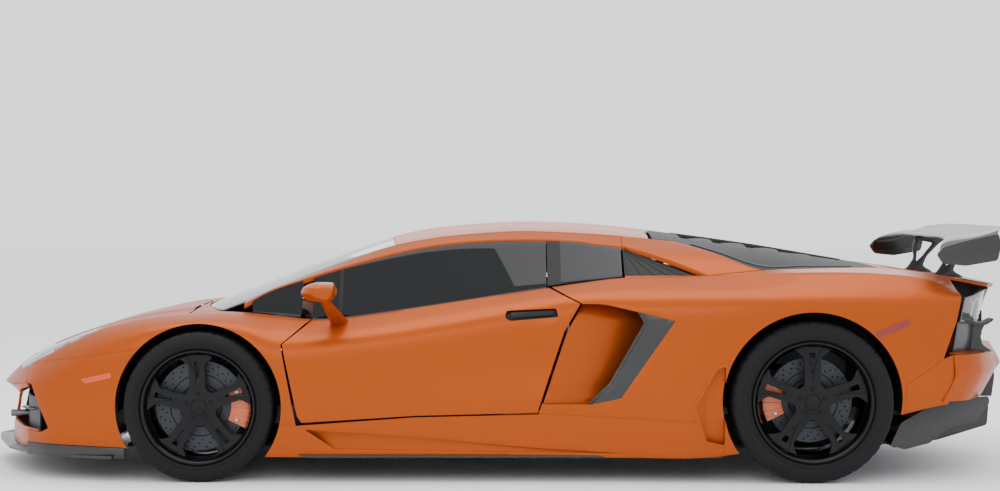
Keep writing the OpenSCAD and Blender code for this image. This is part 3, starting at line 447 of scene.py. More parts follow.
def roundedOutline(points, radius, steps=4):
    result = []
    for i, p in enumerate(points):
        here = Vector(p)
        back, ahead = Vector(points[i - 1]) - here, Vector(points[(i + 1) % len(points)]) - here
        cut = min(radius, back.length * 0.45, ahead.length * 0.45)
        a, b = here + back.normalized() * cut, here + ahead.normalized() * cut
        for k in range(steps + 1):
            t = k / steps
            result.append(a * (1 - t)**2 + here * 2 * t * (1 - t) + b * t**2)
    return result


def grown(points, by):  # outline with every edge moved outwards
    points = [Vector(p) for p in points]
    area = sum(points[i - 1].x * p.y - p.x * points[i - 1].y for i, p in enumerate(points))
    way = by if area > 0 else -by
    result = []
    for i, p in enumerate(points):
        a, b = (p - points[i - 1]).normalized(), (points[(i + 1) % len(points)] - p).normalized()
        n = Vector((a.y, -a.x)) + Vector((b.y, -b.x))
        n = n.normalized() / max(n.length / 2, 0.4)
        result.append(p + n * way)
    return result


def prism(name, outline, low, high, axis="y"):  # outline pushed along y, z or x, between two places
    order = {"x": (2, 0, 1), "y": (0, 2, 1), "z": (0, 1, 2)}[axis]
    count = len(outline)
    ends = [(p[0], p[1], reach) for reach in (low, high) for p in outline]
    points = [tuple(p[k] for k in order) for p in ends]
    faces = [tuple(range(count)), tuple(range(2 * count - 1, count - 1, -1))]
    faces += [(i, (i + 1) % count, count + (i + 1) % count, count + i) for i in range(count)]
    return newMesh(name, points, faces)


def ring(x, z, radius, count=96):
    return [(x + radius * math.cos(2 * math.pi * i / count), z + radius * math.sin(2 * math.pi * i / count))
            for i in range(count)]


def block(name, x, y, z):
    return prism(name, [(x[0], y[0]), (x[1], y[0]), (x[1], y[1]), (x[0], y[1])], z[0], z[1], "z")


def settle(piece):  # applies what the modifiers made
    made = bpy.data.meshes.new_from_object(piece.evaluated_get(bpy.context.evaluated_depsgraph_get()))
    piece.modifiers.clear()
    old, piece.data = piece.data, made
    bpy.data.meshes.remove(old)
    return piece


def carve(piece, *cutters, keep=False):
    for cutter in cutters:
        cut = piece.modifiers.new("carve", "BOOLEAN")
        cut.object, cut.solver = cutter, "EXACT"
        cut.operation = "INTERSECT" if keep else "DIFFERENCE"
        settle(piece)
        bpy.data.objects.remove(cutter)
    return piece


def joined(name, *pieces):
    whole = bmesh.new()
    for piece in pieces:
        piece.data.transform(piece.matrix_world)
        whole.from_mesh(piece.data)
        bpy.data.objects.remove(piece)
    mesh = bpy.data.meshes.new(name)
    whole.to_mesh(mesh)
    whole.free()
    piece = bpy.data.objects.new(name, mesh)
    scene.collection.objects.link(piece)
    return piece


def mirrored(name, piece):
    twin = bpy.data.objects.new(name, piece.data.copy())
    scene.collection.objects.link(twin)
    twin.data.transform(Matrix.Scale(-1, 4, (0, 1, 0)))
    twin.data.flip_normals()
    return twin


def bothSides(name, piece):
    return joined(name, piece, mirrored(name + "Twin", piece))


def sidePair(label, piece):  # the right-hand piece keeps its mesh, the left-hand one is its mirror image
    twin = mirrored(label + "Left", piece)
    piece.name = label + "Right"
    return ("left", twin), ("right", piece)


def finished(piece, surface, body="body", edge=1.5, sharp=32, replaces=(), steps=2):
    cleaned = bmesh.new()
    cleaned.from_mesh(piece.data)
    bmesh.ops.remove_doubles(cleaned, verts=cleaned.verts, dist=0.02 * mm)
    bmesh.ops.dissolve_degenerate(cleaned, edges=cleaned.edges, dist=0.02 * mm)
    cleaned.to_mesh(piece.data)
    cleaned.free()
    if edge:
        bevel = piece.modifiers.new("edge", "BEVEL")
        bevel.width, bevel.segments, bevel.limit_method = edge * mm, steps, "ANGLE"
        bevel.angle_limit = math.radians(sharp)
        settle(piece)
    piece.data.shade_smooth()
    piece.data.set_sharp_from_angle(angle=math.radians(sharp))
    piece.data.materials.clear()
    piece.data.materials.append(finish[surface])
    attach(piece, body)
    if replaces:
        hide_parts(*replaces)
    return piece


# Lines of the body: station, half width, height.
noseMiddle = [(-1054, 0, 385), (-1000, 0, 424), (-900, 0, 496), (-800, 0, 552), (-700, 0, 597),
    (-560, 0, 645), (-430, 0, 684), (-300, 0, 714), (-180, 0, 734), (-60, 0, 746), (120, 0, 760)]
hoodEdge = [(-1054, 0, 385), (-1000, 150, 420), (-900, 330, 488), (-800, 450, 543), (-700, 515, 585),
    (-560, 560, 633), (-430, 590, 670), (-300, 612, 698), (-180, 630, 716), (-60, 645, 727),
    (120, 660, 735), (480, 690, 706)]
crest = [(-1054, 0, 385), (-1000, 230, 408), (-900, 500, 462), (-800, 655, 516), (-700, 728, 566),
    (-560, 775, 628), (-430, 795, 672), (-300, 802, 704), (-180, 806, 722), (0, 806, 734),
    (120, 800, 736), (240, 786, 728), (340, 778, 716), (478, 778, 706), (623, 783, 713),
    (1000, 790, 766), (1556, 793, 851), (1884, 782, 893), (2100, 790, 900), (2300, 806, 905),
    (2507, 826, 912), (2700, 846, 918), (2900, 856, 918), (3050, 850, 910), (3227, 826, 888),
    (3397, 792, 822)]
shoulder = [(-1054, 0, 380), (-1000, 300, 392), (-900, 585, 405), (-800, 762, 422), (-700, 845, 452),
    (-560, 902, 512), (-400, 928, 590), (-200, 938, 662), (0, 942, 690), (200, 942, 664),
    (361, 944, 606), (802, 938, 640), (1250, 932, 708), (1669, 932, 782), (1900, 950, 790),
    (2200, 978, 800), (2500, 996, 806), (2700, 998, 806), (2900, 992, 800), (3108, 964, 790),
    (3250, 930, 792), (3397, 880, 800)]
waist = [(-800, 785, 340), (-700, 866, 340), (-560, 914, 350), (-400, 946, 390), (-200, 966, 500),
    (0, 976, 560), (200, 974, 500), (361, 966, 440), (802, 954, 460), (1250, 946, 500),
    (1669, 950, 520), (1900, 968, 540), (2200, 1000, 600), (2500, 1014, 660), (2700, 1015, 670),
    (2900, 1012, 650), (3108, 988, 600), (3250, 950, 590), (3397, 894, 590)]
lowCrease = [(-800, 772, 235), (-700, 852, 222), (-560, 900, 215), (-400, 934, 212), (-200, 944, 215),
    (0, 950, 220), (200, 955, 230), (361, 958, 246), (802, 962, 280), (1250, 966, 330),
    (1500, 968, 362), (1669, 972, 370), (1900, 982, 350), (2200, 1000, 300), (2500, 1008, 300),
    (2700, 1008, 330), (2900, 1004, 360), (3108, 978, 420), (3250, 944, 430), (3397, 896, 440)]
hem = [(-800, 748, 160), (-700, 830, 158), (-560, 884, 156), (-400, 922, 152), (-200, 930, 140),
    (0, 936, 120), (200, 940, 112), (361, 944, 110), (802, 948, 110), (1250, 950, 110),
    (1669, 955, 110), (1900, 962, 110), (2200, 978, 110), (2500, 984, 150), (2700, 980, 200),
    (2900, 972, 250), (3108, 950, 300), (3250, 920, 330), (3397, 874, 350)]
screenMiddle = [(-62, 0, 741), (100, 0, 806), (300, 0, 884), (500, 0, 959), (700, 0, 1028), (816, 0, 1065)]
screenEdge = [(70, 655, 742), (200, 672, 792), (300, 650, 838), (500, 604, 916), (700, 566, 988),
    (850, 546, 1034)]
roofMiddle = [(816, 0, 1066), (940, 0, 1094), (1060, 0, 1112), (1345, 0, 1134), (1486, 0, 1135.6),
    (1620, 0, 1133), (1773, 0, 1124), (1900, 0, 1112), (2010, 0, 1098)]
roofEdge = [(70, 655, 742), (200, 672, 792), (300, 650, 838), (500, 604, 916), (700, 566, 988),
    (816, 548, 1026), (1060, 534, 1070), (1345, 526, 1094), (1486, 524, 1096), (1773, 524, 1082),
    (2010, 530, 1062)]
windowTop = [(164, 736, 767), (292, 704, 834), (438, 672, 884), (579, 646, 928), (811, 616, 992),
    (997, 602, 1032), (1212, 596, 1056), (1479, 594, 1063), (1680, 599, 1054), (1767, 604, 1042),
    (1884, 610, 1030)]
coverMiddle = [(2010, 0, 1098), (2161, 0, 1078), (2370, 0, 1050), (2574, 0, 1020), (2786, 0, 984),
    (3000, 0, 948), (3186, 0, 920), (3390, 0, 890), (3560, 0, 866)]
coverEdge = [(2010, 530, 1062), (2127, 550, 1050), (2300, 664, 1000), (2507, 783, 927),
    (2700, 738, 932), (2900, 668, 934), (3050, 618, 932), (3227, 602, 914), (3397, 592, 886),
    (3560, 578, 856)]
haunch = [(1884, 770, 900), (2100, 784, 903), (2262, 800, 904), (2380, 800, 914), (2507, 792, 926),
    (2700, 738, 932), (2900, 668, 934), (3050, 618, 932), (3227, 602, 914), (3397, 592, 886)]
roofAndCover = [(1773, 524, 1082), (2010, 530, 1062), (2084, 540, 1055), (2127, 550, 1050)]
deckMiddle = coverMiddle + [(3682, 0, 840)]
bodySide = [crest, shoulder, waist, lowCrease, hem]

# Outlines of the openings in side view: station, height.
doorOpening = [(430, 249), (361, 604), (478, 707), (478, 1200), (1545, 1200), (1545, 858), (1690, 785),
    (1618, 660), (1497, 300), (959, 287)]
doorShape = [(456, 262), (436, 290), (368, 605), (486, 702), (486, 1200), (1538, 1200), (1538, 852),
    (1682, 783), (1611, 662), (1492, 307), (959, 294)]
bumperTop = [(-1200, 20), (-1200, 500), (-940, 500), (-790, 505), (-703, 518), (-262, 586), (-262, 20)]
sillHollow = [(470, 232), (600, 146), (1880, 128), (1500, 150), (900, 205)]
skirtShape = [(300, 60), (300, 249), (430, 249), (959, 287), (1497, 300), (1560, 300), (2290, 262),
    (2330, 60)]
rearSeam = [(3111, 200), (3111, 433), (3280, 540), (3320, 556), (3500, 556), (3500, 200)]
intakeHole = [(1706, 783), (1785, 783), (1951, 745), (1978, 701), (1822, 429), (1725, 343),
    (1512, 345), (1618, 660), (1690, 785)]
bladeShape = [(1951, 745), (2096, 710), (1859, 372), (1725, 343), (1822, 429), (1978, 701)]
tailSeam = [(3372, 1200), (3372, 810), (3343, 700), (3284, 550), (3284, 200), (3600, 200), (3600, 1200)]
lampShape = [(-872, 540), (-800, 520), (-700, 556), (-560, 612), (-470, 700), (-452, 770), (-480, 806),
    (-560, 800), (-700, 758), (-800, 692), (-850, 620)]
seam = 0.6

arches = {"frontTyre": 330, "rearTyre": 355, "frontGap": 36, "rearGap": 40}


def archHole(which, low=500, high=1300):
    x = 0 if which == "front" else wheelbase
    tyre = arches[which + "Tyre"]
    return prism("archHole", ring(x, tyre, tyre + arches[which + "Gap"]), low, high)


def sideCut(outline, grow=0.0, low=300, high=1300):
    return prism("sideCut", grown(outline, grow) if grow else outline, low, high)


def planCut(outline, grow=0.0, low=300, high=900):
    return prism("planCut", grown(outline, grow) if grow else outline, low, high, "z")


def lampCut(grow=seam):
    return planCut(lampShape, grow, 440, 800)


def scoopHole():
    return sideCut(roundedOutline(grown(scoopShape, -14), 8))


# Nose.
nose = {"skin": 10, "edge": 2.0}
noseEdge = [(0, -1054, 372), (150, -1034, 381), (300, -1000, 388), (585, -900, 401), (700, -842, 412),
    (780, -790, 424)]
noseLip = [(0, -972, 330), (150, -962, 336), (300, -938, 340), (585, -862, 345), (700, -820, 350),
    (780, -778, 352)]
noseLow = [(0, -1000, 190), (150, -990, 190), (300, -960, 190), (585, -858, 190), (700, -796, 196),
    (780, -736, 204)]
noseFoot = [(0, -1000, 116), (150, -990, 116), (300, -960, 116), (585, -858, 116), (700, -796, 116),
    (780, -736, 116)]
frontSide = [hoodEdge] + bodySide
sideMouth = [(300, 214), (800, 214), (810, 330), (800, 408), (700, 392), (560, 350), (330, 330)]
mouthReturn = [(-900, 424), (-766, 421), (-676, 228), (-724, 206), (-900, 236)]  # side view of the corner
middleMouth = [(-150, 208), (150, 208), (230, 326), (-230, 326)]


def sidePanel(name, lines, x0, x1, count, thickness=10, soft=0.75, steps=6):
    rows = sideRows(lines, spread(x0, x1, count), steps, soft)
    return shell(name, rows, skinUnder(rows, thickness))


def frontBumper():
    brow = sidePanel("brow", [hoodEdge, crest, shoulder], -1040, -790, 20, 9)
    carve(brow, lampCut())
    carve(brow, planCut([(-1100, -10), (-1100, 760), (-790, 760), (-790, -10)], 0, 300, 640), keep=True)
    cheek = sidePanel("cheek", frontSide, -790, -262, 40, nose["skin"])
    carve(cheek, sideCut(bumperTop, -seam / 2), keep=True)
    carve(cheek, archHole("front"), lampCut(), sideCut(roundedOutline(mouthReturn, 12)))
    top = wholeRows([noseMiddle, hoodEdge], spread(-1040, -790, 20), 8)
    hoodLip = shell("hoodLip", top, skinUnder(top, 9))
    front = faceRows([noseEdge, noseLip, noseLow, noseFoot], spread(-780, 780, 90), 6, 0.45)
    face = shell("face", front, skinUnder(front, 12))
    carve(face, prism("mouth", roundedOutline(middleMouth, 18), -1200, -700, "x"))
    for side in (-1, 1):
        mouth = [(side * y, z) for y, z in sideMouth]
        carve(face, prism("mouth", roundedOutline(mouth, 18), -1200, -600, "x"))
    carve(face, archHole("front"), archHole("front", -1300, -500))
    whole = joined("frontBumper", bothSides("browPair", brow), bothSides("cheekPair", cheek), hoodLip, face)
    return finished(whole, "paint", edge=nose["edge"], replaces=["front_bumper"])


def frontGrilles():
    # pressed mesh behind each mouth, with one lacquered blade across the outer ones
    pieces = []
    meshLine = [(0, -925, 0), (300, -892, 0), (585, -815, 0), (735, -745, 0)]
    bladeLine = [(0, -968, 0), (300, -930, 0), (585, -838, 0), (735, -762, 0)]
    for side in (-1, 1):
        rows = [[Vector((lineAt(meshLine, y).y, side * y, z)) for z in (205, 250, 300, 350)]
                for y in spread(285, 742, 12)]
        pieces.append(shell("meshSheet", rows, dropped(rows, (6, 0, 0))))
    middle = [[Vector((-935 + abs(y) * 0.12, y, z)) for z in (200, 240, 290, 334)]
        for y in spread(-240, 240, 10)]
    pieces.append(shell("meshSheet", middle, dropped(middle, (6, 0, 0))))
    finished(joined("frontMesh", *pieces), "mesh", edge=0)
    finished(prism("mouthBaffle", roundedOutline([(-984, 206), (-946, 398), (-780, 418), (-780, 206)],
        12), -4, 4), "plastic", edge=1)
    for side, label in ((-1, "Left"), (1, "Right")):
        blade = []
        for t in spread(0, 1, 14):
            y = 312 + 390 * t
            x = lineAt(bladeLine, y).y
            z = 268 + 30 * t
            deep = 60 * (1 - 0.3 * t)
            section = ((0, 0), (0.25, 7), (1, 10), (1, -4), (0.25, -6))
            blade.append([Vector((x + d * deep, side * y, z + lift)) for d, lift in section])
        finished(loft("mouthBlade" + label, blade), "carbon", edge=1)


def frontFenders():
    side = sidePanel("fender", frontSide, -789, 478, 96, nose["skin"])
    carve(side, archHole("front"), sideCut(doorOpening), sideCut(skirtShape, seam))
    carve(side, sideCut(bumperTop, seam / 2, -1300, 1300), lampCut())
    cowlEdge = [(150, 300), (150, 700), (240, 756), (340, 754), (420, 764), (500, 772), (500, 300)]
    carve(side, planCut(cowlEdge, 0, 600, 800))
    cowlRows = arcRows(noseMiddle, moved(hoodEdge, (0, -0.8, 0)), -77, -66, -77, 64, 6, 12)
    cowl = shell("cowlPanel", cowlRows, dropped(cowlRows, (0, 0, -4)))
    return finished(joined("frontFenders", bothSides("fenderPair", side), cowl), "paint", edge=2,
        replaces=["front_fenders"])


def hoodLid():
    ridge = [(p[0], p[1] * 0.52, p[2] + (lineAt(noseMiddle, p[0]).z - p[2]) * 0.5) for p in hoodEdge[:11]]
    ridge = [(x, y, z + 7) for x, y, z in ridge]
    valley = [(x, y * 1.32, z - 15) for x, y, z in ridge]
    rows = wholeRows([noseMiddle, ridge, valley, moved(hoodEdge, (0, -6, 0))], spread(-780, -100, 50),
        5, 0.5)
    lid = shell("hoodLid", rows, dropped(rows, (0, 0, -9)))
    return finished(lid, "paint", "hood", edge=2, sharp=40, replaces=["hood"])


def splitter():
    plan = [(-1099, 0), (-1055, 180), (-931, 530), (-800, 728), (-700, 812), (-537, 892), (-380, 944),
            (-380, 570), (-500, 540), (-500, 0)]
    half = prism("blade", roundedOutline(plan, 12), 99, 114, "z")
    side = []
    for x in spread(-800, -330, 30):
        foot = lineAt(hem, x)
        side.append([Vector((x, foot.y - inset, z)) for inset, z in ((10, 99), (2, 118), (6, foot.z - 2))])
    fence = shell("fence", side, dropped(side, (0, -8, 0)))
    winglet = prism("winglet", [(-900, 590), (-800, 728), (-790, 722), (-888, 588)], 113, 128, "z")
    return finished(joined("splitter", bothSides("bladePair", half), bothSides("fencePair", fence),
        bothSides("wingletPair", winglet)), "carbon", edge=2.5, replaces=["front_splitter"])


frontBumper()
frontGrilles()
frontFenders()
hoodLid()
splitter()
print("nose built")

# Headlamps.
headlamp = {"barWidth": 9, "aim": (-0.5, 0.35, 0.8)}


def headlamps():
    lens = sidePanel("lens", [hoodEdge, crest, shoulder], -880, -430, 40, 4)
    carve(lens, lampCut(0), keep=True)
    finished(bothSides("headlampLens", lens), "clearLens", edge=0.8, replaces=["headlights"])
    tray = sideRows([moved(line, (0, -6, -26)) for line in (hoodEdge, crest, shoulder)],
        spread(-880, -430, 30), 6)
    floor = shell("tray", tray, dropped(tray, (0, 0, -4)))
    carve(floor, lampCut(-5), keep=True)
    finished(bothSides("headlampTray", floor), "bright", edge=0.8)
    bezel = ribbonOn([(-852, 546), (-800, 534), (-700, 570), (-600, 606), (-540, 640), (-490, 690)], 26, -3)
    finished(bothSides("headlampBezel", bezel), "plastic", edge=1)
    bars, bowls, rims = [], [], []
    for x, y, size in ((-640, 672, 34), (-560, 712, 32)):
        z = lineAt(crest, x).z - 26
        bowls.append(lathe("bowl", [(2, -6), (size * 0.5, -4), (size * 0.8, 6), (size, 18),
            (size + 3, 18), (size + 3, -10), (2, -12)], (x, y, z), headlamp["aim"], 40))
        rims.append(lathe("rim", [(size * 0.3, 0), (size * 0.42, 4), (size * 0.42, 9),
            (size * 0.3, 12), (1, 13), (1, 0)], (x, y, z), headlamp["aim"], 32))
    for track in ([(-806, 640), (-745, 655), (-690, 690)], [(-745, 655), (-700, 628), (-640, 626)],
            [(-650, 730), (-600, 752), (-540, 765)]):
        bars.append(ribbonOn(track, headlamp["barWidth"], -16))
    finished(bothSides("headlampBowls", joined("bowls", *bowls)), "bright", edge=0)
    finished(bothSides("headlampProjectors", joined("projectors", *rims)), "clearLens", edge=0)
    finished(bothSides("headlampBars", joined("bars", *bars)), "whiteGlow", edge=1)


def ribbonOn(track, width, depth):  # raised bar that follows the lamp's surface
    loops = []
    for i, (x, y) in enumerate(track):
        ahead = Vector(track[min(i + 1, len(track) - 1)]) - Vector(track[max(i - 1, 0)])
        side = Vector((-ahead.y, ahead.x)).normalized() * width / 2
        a, b = lineAt(hoodEdge, x), lineAt(crest, x)
        z = a.z + (b.z - a.z) * (y - a.y) / (b.y - a.y) + depth
        loops.append([(x + side.x * s, y + side.y * s, z + h) for s, h in ((-1, 0), (1, 0), (1, -8),
            (-1, -8))])
    return loft("bar", loops)


headlamps()


def sideMarkers():
    # amber lens at the front, red one at the back, each sunk in the fender's skin
    amber = [(-522, 452), (-384, 482), (-384, 458), (-500, 432)]
    red = [(2968, 660), (3110, 718), (3128, 708), (3118, 690), (2990, 638)]
    for name, outline, surface in (("amberMarker", amber, "amberLens"), ("redMarker", red, "redLens")):
        x0, x1 = outline[0][0] - 30, outline[1][0] + 40
        rows = sideRows([moved(line, (0, 1.5, 0)) for line in bodySide], spread(x0, x1, 12), 8)
        lens = shell(name, rows, skinUnder(rows, 6))
        carve(lens, sideCut(roundedOutline(outline, 6)), keep=True)
        finished(bothSides(name, lens), surface, edge=1)


sideMarkers()
print("lamps in the nose built")

# Sides.
flank = {"edge": 2, "skin": 10, "scoopDepth": 30}
scoopShape = [(2330, 532), (2270, 512), (2170, 334), (2222, 172), (2325, 150)]


def rearQuarters():
    side = sidePanel("quarter", bodySide, 1500, 3396, 130, flank["skin"])
    carve(side, archHole("rear"), sideCut(doorOpening), sideCut(skirtShape, seam / 2))
    carve(side, sideCut(roundedOutline(intakeHole, 10)), sideCut(bladeShape, seam), sideCut(rearSeam, seam))
    carve(side, sideCut(tailSeam), scoopHole())
    return finished(bothSides("rearQuarters", side), "paint", edge=flank["edge"],
        replaces=["rear_quarters"])


def haunches():
    rows = sideRows([moved(haunch, (0, 3, 0)), moved(crest, (0, -1, 0))], spread(1890, 3396, 90), 6, 1)
    top = shell("haunch", rows, dropped(rows, (0, 0, -10)))
    carve(top, archHole("rear"), sideCut(tailSeam))
    return finished(bothSides("haunches", top), "paint", edge=flank["edge"], replaces=["haunches"])


def sideSkirts():
    rows = sideRows([waist, lowCrease, hem], spread(300, 2330, 80), 8, 0.4)
    sill = shell("sill", rows, dropped(rows, (0, -10, 0)))
    carve(sill, sideCut(skirtShape, -seam / 2), keep=True)
    carve(sill, archHole("front"), archHole("rear"))
    carve(sill, sideCut(roundedOutline(sillHollow, 9)), scoopHole())
    floor = [[lineAt(lowCrease, x) * (1 - t) + lineAt(hem, x) * t - Vector((0, deep, 0))
        for t, deep in ((0.18, 9), (0.32, 24), (0.6, 27), (0.9, 16), (0.99, 6))]
        for x in spread(420, 1900, 40)]
    hollow = shell("hollow", floor, dropped(floor, (0, -3, 0)))
    finished(bothSides("sideSkirts", joined("sillParts", sill, hollow)), "paint", edge=flank["edge"],
        replaces=["side_skirts"])
    strip = prism("strip", [(470, 108), (2300, 108), (2322, 121), (440, 121)], 900, 958)
    finished(bothSides("sillStrip", strip), "carbon", edge=2)


def intakeBlades():
    rows = sideRows(bodySide, spread(1700, 2120, 40), 8)
    blade = shell("blade", rows, skinUnder(rows, 14))
    carve(blade, sideCut(bladeShape, -seam / 2), keep=True)
    wall = sideRows([moved(line, (0, -17, 0)) for line in bodySide], spread(1700, 2120, 30), 6)
    duct = shell("duct", wall, skinUnder(wall, 8))
    carve(duct, sideCut(bladeShape, 14), keep=True)
    carve(duct, sideCut(doorOpening, 8))
    # painted wall that leaves the door's rear edge and runs inwards behind the blade
    deep = []
    for t in spread(0, 1, 24):
        row = []
        for z in spread(786, 344, 16):
            edge = 1514 + 0.336 * (z - 345) + 0.24 * max(z - 660, 0)
            skin = 0.5 * (lineAt(shoulder, 1620).y + lineAt(waist, 1620).y)
            skin += 0.3 * max(400 - z, 0) - 0.9 * max(z - 720, 0)
            row.append(Vector((edge + 4 + (2010 - edge) * t, skin - 8 - 136 * t ** 1.4, z)))
        deep.append(row)
    sill = [[Vector((1530 + 440 * t, lineAt(waist, 1530 + 440 * t).y - 4 - 130 * u, 343 + 26 * u))
        for u in (0, 0.25, 0.5, 1)] for t in spread(0, 1, 12)]
    brow = [[Vector((1690 + 270 * t, 926 - 120 * u, 790 - 30 * t - 8 * u)) for u in (0, 0.25, 0.5, 1)]
            for t in spread(0, 1, 12)]
    cheek = shell("cheek", deep, dropped(deep, (0, -8, 0)))
    whole = joined("intakeBlade", blade, duct)
    finished(bothSides("intakeBlades", whole), "carbon", edge=2, replaces=["intake_blades"])
    walls = joined("walls", cheek, shell("ductSill", sill, dropped(sill, (0, 0, -4))),
        shell("ductBrow", brow, dropped(brow, (0, 0, 4))))
    finished(bothSides("intakeWalls", walls), "paint", edge=1)


def ductScoops():
    # painted hollow ahead of the rear wheel, sunk below the skin around it
    rows = sideRows([moved(line, (0, 2.5, 0)) for line in bodySide], spread(2150, 2345, 24), 8)
    lip = shell("lip", rows, skinUnder(rows, 3))
    carve(lip, sideCut(roundedOutline(scoopShape, 10)), keep=True)
    carve(lip, scoopHole(), archHole("rear"))
    deep = [[p - Vector((0, 7 + flank["scoopDepth"] * min(max((x - 2176) / 60, 0), 1), 0))
        for p in acrossAt([lineAt(line, x) for line in bodySide], 8, 0.75)] for x in spread(2160, 2345, 30)]
    floor = shell("floor", deep, dropped(deep, (0, -4, 0)))
    carve(floor, sideCut(roundedOutline(grown(scoopShape, -4), 9)), keep=True)
    carve(floor, archHole("rear"))
    rim = sideRows([moved(line, (0, -1, 0)) for line in bodySide], spread(2150, 2345, 24), 8)
    wall = shell("wall", rim, dropped(rim, (0, -flank["scoopDepth"] - 8, 0)))
    carve(wall, sideCut(roundedOutline(grown(scoopShape, -10), 8)), keep=True)
    carve(wall, scoopHole(), archHole("rear"))
    finished(bothSides("scoopLips", joined("scoop", lip, floor, wall)), "paint", edge=1)


def ventSpot(t, u):  # on the triangle between the window's rear corner and the haunch
    front, top, back = Vector((1888, 764, 898)), Vector((1884.5, 610.4, 1024.4)), Vector((2205, 781, 905))
    return front * (1 - t) * (1 - u) + top * t + back * (1 - t) * u


def quarterVents():
    plate = [[ventSpot(t, u) for u in spread(0, 1, 16)] for t in spread(0, 0.985, 16)]
    sheet = shell("ventSheet", dropped(plate, (0, 0, -6)), dropped(plate, (0, 0, -12)))
    ribs = []
    for k in range(5):
        u0 = 0.05 + k * 0.19
        u1 = u0 + 0.06
        rib = [[ventSpot(t, u) for u in (u0, u1)] for t in spread(0.05, 0.92, 10)]
        ribs.append(shell("rib", dropped(rib, (0, 0, -3)), dropped(rib, (0, 0, -7))))
    return finished(bothSides("quarterVents", joined("ventPart", sheet, *ribs)), "plastic", edge=1,
        replaces=["quarter_vents"])


rearQuarters()
haunches()
sideSkirts()
intakeBlades()
ductScoops()
quarterVents()
print("sides built")

# Cabin shell.
def roofPanels():
    middle = arcRows(roofMiddle, roofEdge, 817, 2010, 851, 2010, 60, 20, -4)
    top = shell("roofTop", middle, dropped(middle, (0, 0, -20)))
    rail = sideRows([roofEdge, windowTop], spread(176, 1884, 90), 6, 1)
    rails = bothSides("rails", shell("rail", rail, dropped(rail, (0, 0, -24))))
    finished(joined("roofShell", top, rails), "paint", edge=2, sharp=40, replaces=["roof"])
    # from the roof's rear corner to the haunch: share of the way, inner point, outer point
    corner, foot = Vector((1884, 610, 1032)), Vector((2256, 798.8, 905))
    ways = [(0, lineAt(roofAndCover, x) + Vector((0, 4.8, 0)),
        Vector((1884.6 + (x - 1884.6) * 0.06, 609, 1031.5))) for x in spread(1884.6, 2060, 12)]
    ways += [(t, lineAt(coverEdge, 2090 + 410 * t) + Vector((0, 2, 0)), corner * (1 - t) + foot * t)
        for t in spread(0.06, 1, 30)]
    fin = [[a * (1 - u) + b * u + Vector((0, 0, 10)) * math.sin(math.pi * t) * u for u in spread(0, 1, 10)]
           for t, a, b in ways]
    return finished(bothSides("buttresses", shell("fin", fin, dropped(fin, (0, 0, -22)))), "paint",
        edge=2, sharp=40, replaces=["buttresses"])


def glazing():
    front = arcRows(screenMiddle, screenEdge, -62, 815, 70, 849, 40, 20, 4)
    finished(shell("windscreenGlass", front, dropped(front, (0, 0, -6))), "screen", edge=0.8,
        replaces=["windscreen"])
    panes = []
    for foot, x0, x1 in (((0, -34, 8), 216, 436), ((0, -12, 5), 1552, 1876)):
        rows = sideRows([moved(windowTop, (0, 7.9, -7)), moved(crest, foot)], spread(x0, x1, 24), 8, 1)
        panes.append(shell("pane", rows, dropped(rows, (0, -6, 0))))
    back = block("backPane", (1650, 1656), (-379.7, 379.7), (880.3, 999.7))
    finished(joined("quarterGlass", bothSides("panePair", joined("panes", *panes)), back), "glass",
        edge=0.8, replaces=["quarter_windows"])
    frit = sideRows([moved(windowTop, (0, 9.4, -7.5)), moved(crest, (0, -9, 6))],
        spread(1540, 1600, 6), 8, 1)
    finished(bothSides("pillarTrim", shell("pillar", frit, dropped(frit, (0, -3, 0)))), "plastic", edge=1)


roofPanels()
glazing()
print("cabin shell built")


# Doors.
door = {"edge": 2.0, "handle": [(1356, 752), (1576, 764), (1586, 726), (1372, 708), (1350, 722)]}
doorFoot = [(350, 945, 215), (361, 945, 216), (802, 956, 250), (1250, 962, 276), (1700, 966, 296)]
doorLines = [crest, shoulder, waist, lowCrease, doorFoot]
doorInside = [(0, -62, -2), (0, -100, 0), (0, -108, 0), (0, -100, 0), (0, -100, 0)]


def handleLayer(inset):  # the door's surface around its handle, moved inwards
    return sideRows([moved(line, (0, -inset, 0)) for line in doorLines], spread(1300, 1640, 16), 6)


def armrestLoop(x):
    swell = math.sin(math.pi * (x - 820) / 600)
    h, w = 22 * swell, 16 * swell
    return [Vector((x, y, z)) for y, z in ((836, 560 + h), (800 - w, 562 + h), (790 - w, 545 + h),
        (800 - w, 520 + h), (836, 505 + h))]


